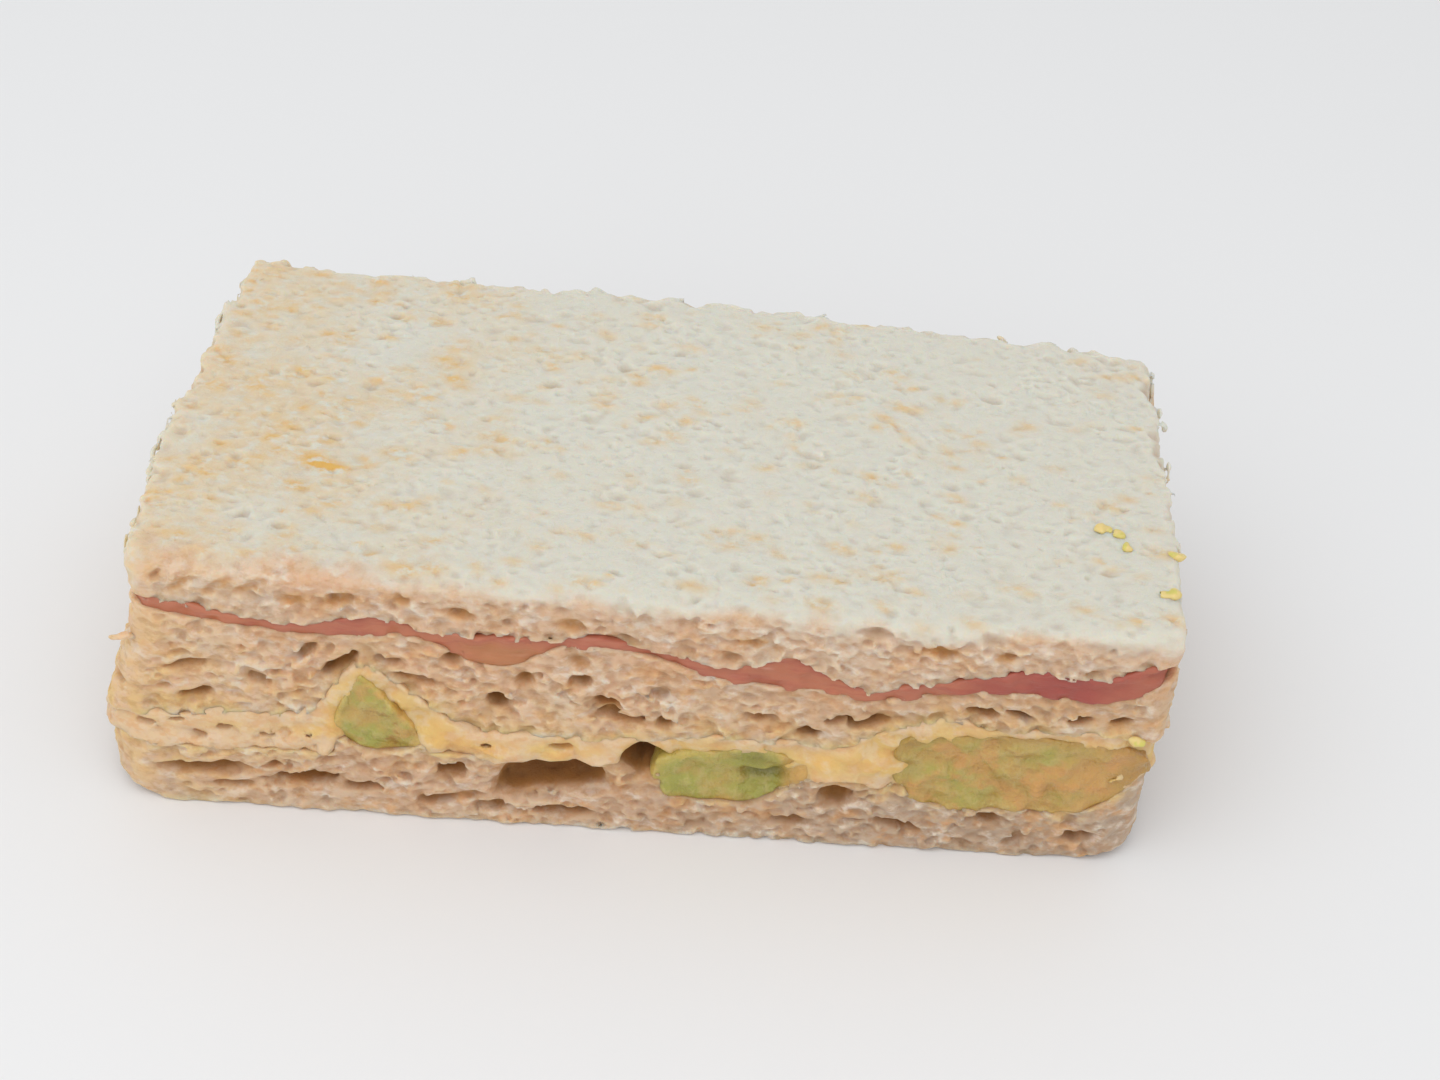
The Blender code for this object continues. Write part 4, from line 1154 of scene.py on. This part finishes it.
class SANDWICH_OT_spread(bpy.types.Operator):
    """Build the creamy spread that lies over the fruit"""

    bl_idname = "sandwich.spread"
    bl_label = "Spread"

    def execute(self, context):
        grid = layer_grid("spread", SPREAD_STEP)
        sideways = grid.relief("spread sides") + 0.10
        upward = SPREAD_BURIED + grid.relief("spread faces")
        x, y = grid.plane()
        z = grid.upright()
        above = z - spread_low(x, y).astype(np.float32)[..., None]
        clear = np.ones(x.shape, np.float32)
        for fruit in FRUITS.values():
            middle, half, _, _ = fruit_sides(fruit, depth_share(y))
            clear *= smoothstep((abs(x - middle) - 0.8 * half) / (0.35 * half))
        sideways += 0.12 + SPREAD_SAG * clear[..., None] * np.clip(1.0 - above / SAG_HEIGHT, 0.0, 1.0)
        field = layer_field("spread", grid, (0.25, 0.25), sideways, upward)
        crumbly = smoothstep((CRUMBLY_FROM_X - x) / CRUMBLY_LENGTH).astype(np.float32)[..., None]
        crumbly = crumbly * smoothstep((3.4 - above) / 1.4)
        field += (0.30 + 0.34 * crumbly) * np.clip(grid.relief("spread cells"), 0.0, None)
        lap = RIM_LAP + (0.25 + grid.relief("spread lap")) * smoothstep((above - 1.0) / 2.0)
        cut_for_fruit(grid, field, lap)
        for fruit in FRUITS.values():
            middle, half, low, high = (side[..., None] for side in fruit_sides(fruit, depth_share(y)))
            under = np.minimum(low + 0.25 * (high - low) - z, 0.8 * half - abs(x[..., None] - middle))
            field = np.maximum(field, under)
        field = np.maximum(field, (bottom_bread_high(x, y) - 0.6).astype(np.float32)[..., None] - z)
        large_pores("spread", grid, field)
        points, faces = grid.surface(field)

        def masks(p):
            x, y, z = p.T
            sunk = -outside_plan(SPREAD_PLAN, x, y)
            edge = np.minimum(z - spread_low(x, y), spread_high(x, y) - z) + 0.8 * uneven_at(p, "spread")
            low_left = smoothstep((CRUMBLY_FROM_X - x) / CRUMBLY_LENGTH)
            low_left = low_left * smoothstep((spread_low(x, y) + 2.6 - z) / 1.4)
            crumbed = np.exp(-np.maximum(edge, 0.0) / 0.8) + 0.35 * smoothstep((-x - 30.0) / 12.0) + 0.9 * low_left
            # The first two masks are painted shade, by how deep a point lies in a pore of the spread.
            return {"pore": np.clip((sunk - 0.1) / 2.2, 0.0, 1.0), "cave": smoothstep((sunk - 0.8) / 1.8),
                    "crumbed": np.clip(crumbed, 0.0, 1.0)}

        finish_piece("cream", points, faces, SPREAD_TRIANGLES, masks, spread_material(context.scene.sandwich_look),
                     ["spread"])
        return {"FINISHED"}


class SANDWICH_OT_fruit(bpy.types.Operator):
    """Build the three lengths of pineapple"""

    bl_idname = "sandwich.fruit"
    bl_label = "Pineapple"

    def execute(self, context):
        for name, fruit in FRUITS.items():
            reach = max(fruit["half"]) + 2.0
            grid = Grid((min(fruit["x"]) - reach, -30.0, min(fruit["low"]) - 1.5),
                        (max(fruit["x"]) + reach, 29.0, max(fruit["high"]) + 1.5), FRUIT_STEP)
            x, y = grid.plane()
            body = fruit_body(fruit, x[..., None], y[..., None], grid.upright())
            share = plan_share(BOTTOM_PLAN, "left", "right", x)
            front, back = (BOTTOM_PLAN[side][0] + (BOTTOM_PLAN[side][1] - BOTTOM_PLAN[side][0]) * share
                           for side in ("front", "back"))
            ends = np.maximum(front + FRUIT_INSET - y, y - back + FRUIT_INSET)[..., None] + grid.relief("fruit ends")
            field = rounded_corner(body, ends, 0.2) + grid.relief("fruit skin")
            if name == "pineapple_centre":
                place, radii, tilt = FRUIT_HOLLOW
                grid.hollow(field, place, wall_axes((1.0, 0.0), tilt), radii)
            points, faces = grid.surface(field)
            material = fruit_material("Pineapple " + name.split("_")[1], context.scene.sandwich_look, fruit)
            finish_piece(name.replace("pineapple", "fruit"), points, faces, FRUIT_TRIANGLES, fruit_masks(name),
                         material, [name])
        return {"FINISHED"}


class SANDWICH_OT_bits(bpy.types.Operator):
    """Build the yellow bits on the sandwich and the torn crumb at its left edge"""

    bl_idname = "sandwich.bits"
    bl_label = "Bits"

    def execute(self, context):
        look = context.scene.sandwich_look
        for name, bits, material, slot in (("bits", BITS, bit_material(look), "pineapple"),
                                           ("torn_crumb", TORN_CRUMB, bpy.data.materials["Bread crumb"], "bread")):
            all_points, all_faces, total = [], [], 0
            for number, (place, radii, turn) in enumerate(bits):
                reach = max(radii) + 0.5
                grid = Grid([c - reach for c in place], [c + reach for c in place], BIT_STEP)
                c, s = math.cos(math.radians(turn)), math.sin(math.radians(turn))
                x, y, z = np.meshgrid(*[axis - middle for axis, middle in zip(grid.axes, place)], indexing="ij")
                far = np.sqrt(((x * c + y * s) / radii[0]) ** 2 + ((y * c - x * s) / radii[1]) ** 2
                              + (z / radii[2]) ** 2)
                field = (far - 1.0) * min(radii) + BIT_LUMPS * grid.lumps([BIT_LUMP_SIZE] * 3, BIT_SEED + number)
                points, faces = grid.surface(field.astype(np.float32))
                all_points.append(points)
                all_faces.append(faces + total)
                total += len(points)
            finish_piece(name, np.concatenate(all_points), np.concatenate(all_faces), BIT_TRIANGLES,
                         lambda p: {"cut": np.ones(len(p))}, material, None)
        return {"FINISHED"}


class SANDWICH_OT_stage(bpy.types.Operator):
    """Set the pale floor, the soft studio light and the camera"""

    bl_idname = "sandwich.stage"
    bl_label = "Stage"

    def execute(self, context):
        scene = context.scene
        corners = [(x * TABLE_HALF, y * TABLE_HALF, 0) for x, y in ((-1, -1), (1, -1), (1, 1), (-1, 1))]
        mesh = plain_mesh("floor", np.array(corners), np.array([[0, 1, 2, 3]]))
        floor = bpy.data.objects.new("floor", mesh)
        scene.collection.objects.link(floor)
        material, _, shader = new_material("Pale table")
        shader.inputs["Base Color"].default_value = TABLE_COLOUR
        shader.inputs["Roughness"].default_value = TABLE_ROUGHNESS
        mesh.materials.append(material)
        world = bpy.data.worlds.new("Studio")
        world.use_nodes = True
        background = world.node_tree.nodes["Background"]
        background.inputs["Color"].default_value = ROOM_COLOUR
        background.inputs["Strength"].default_value = ROOM_STRENGTH
        scene.world = world
        light = bpy.data.lights.new("softbox", "AREA")
        light.shape, light.size, light.energy = "DISK", SOFTBOX_SIZE, SOFTBOX_WATTS
        lamp = bpy.data.objects.new("softbox", light)
        lamp.location = SOFTBOX_PLACE
        lamp.rotation_euler = (Vector((0.0, 0.0, 0.0)) - lamp.location).to_track_quat("-Z", "Y").to_euler()
        scene.collection.objects.link(lamp)
        scene.view_settings.view_transform = "Standard"
        set_camera(scene)
        return {"FINISHED"}


def set_camera(scene):
    """Places the camera at the photograph's view."""
    azimuth, elevation, roll = (math.radians(a) for a in VIEW_ANGLES)
    back = Vector((math.sin(azimuth) * math.cos(elevation), -math.cos(azimuth) * math.cos(elevation),
                   math.sin(elevation)))
    level = Vector((math.cos(azimuth), math.sin(azimuth), 0.0))
    rise = back.cross(level)
    right = level * math.cos(roll) + rise * math.sin(roll)
    up = rise * math.cos(roll) - level * math.sin(roll)
    data = bpy.data.cameras.new("photograph")
    data.sensor_width = SENSOR_WIDTH
    data.sensor_fit = "HORIZONTAL"
    data.lens = VIEW_FOCAL_PIXELS / PICTURE_WIDTH_PIXELS * SENSOR_WIDTH
    data.clip_start = 0.01
    camera = bpy.data.objects.new("photograph", data)
    place = (Vector(VIEW_AIM) + VIEW_DISTANCE * back) * MM
    camera.matrix_world = Matrix.Translation(place) @ Matrix((right, up, back)).transposed().to_4x4()
    scene.collection.objects.link(camera)
    scene.camera = camera


class VIEW3D_PT_sandwich(bpy.types.Panel):
    """Lists the pieces of the sandwich"""

    bl_label = "Sandwich"
    bl_idname = "VIEW3D_PT_sandwich"
    bl_space_type = "VIEW_3D"
    bl_region_type = "UI"
    bl_category = "Sandwich"

    def draw(self, context):
        column = self.layout.column()
        for layer in SLICES:
            column.operator("sandwich.bread", text="%s slice" % layer.title()).layer = layer
        for operator in ("ham", "spread", "fruit", "bits", "stage"):
            column.operator("sandwich." + operator)
        for group in (context.scene.sandwich_crumb, context.scene.sandwich_look):
            for name in group.__annotations__:
                column.prop(group, name)


CLASSES = (SandwichCrumb, SandwichLook, SANDWICH_OT_bread, SANDWICH_OT_ham, SANDWICH_OT_spread,
           SANDWICH_OT_fruit, SANDWICH_OT_bits, SANDWICH_OT_stage, VIEW3D_PT_sandwich)


def register():
    for cls in CLASSES:
        bpy.utils.register_class(cls)
    bpy.types.Scene.sandwich_crumb = PointerProperty(type=SandwichCrumb)
    bpy.types.Scene.sandwich_look = PointerProperty(type=SandwichLook)


def unregister():
    del bpy.types.Scene.sandwich_look
    del bpy.types.Scene.sandwich_crumb
    for cls in reversed(CLASSES):
        bpy.utils.unregister_class(cls)


def main():
    register()
    bpy.ops.sandwich.stage()
    for layer in SLICES:
        bpy.ops.sandwich.bread(layer=layer)
    bpy.ops.sandwich.ham()
    bpy.ops.sandwich.spread()
    bpy.ops.sandwich.fruit()
    bpy.ops.sandwich.bits()


if __name__ == "__main__":
    main()
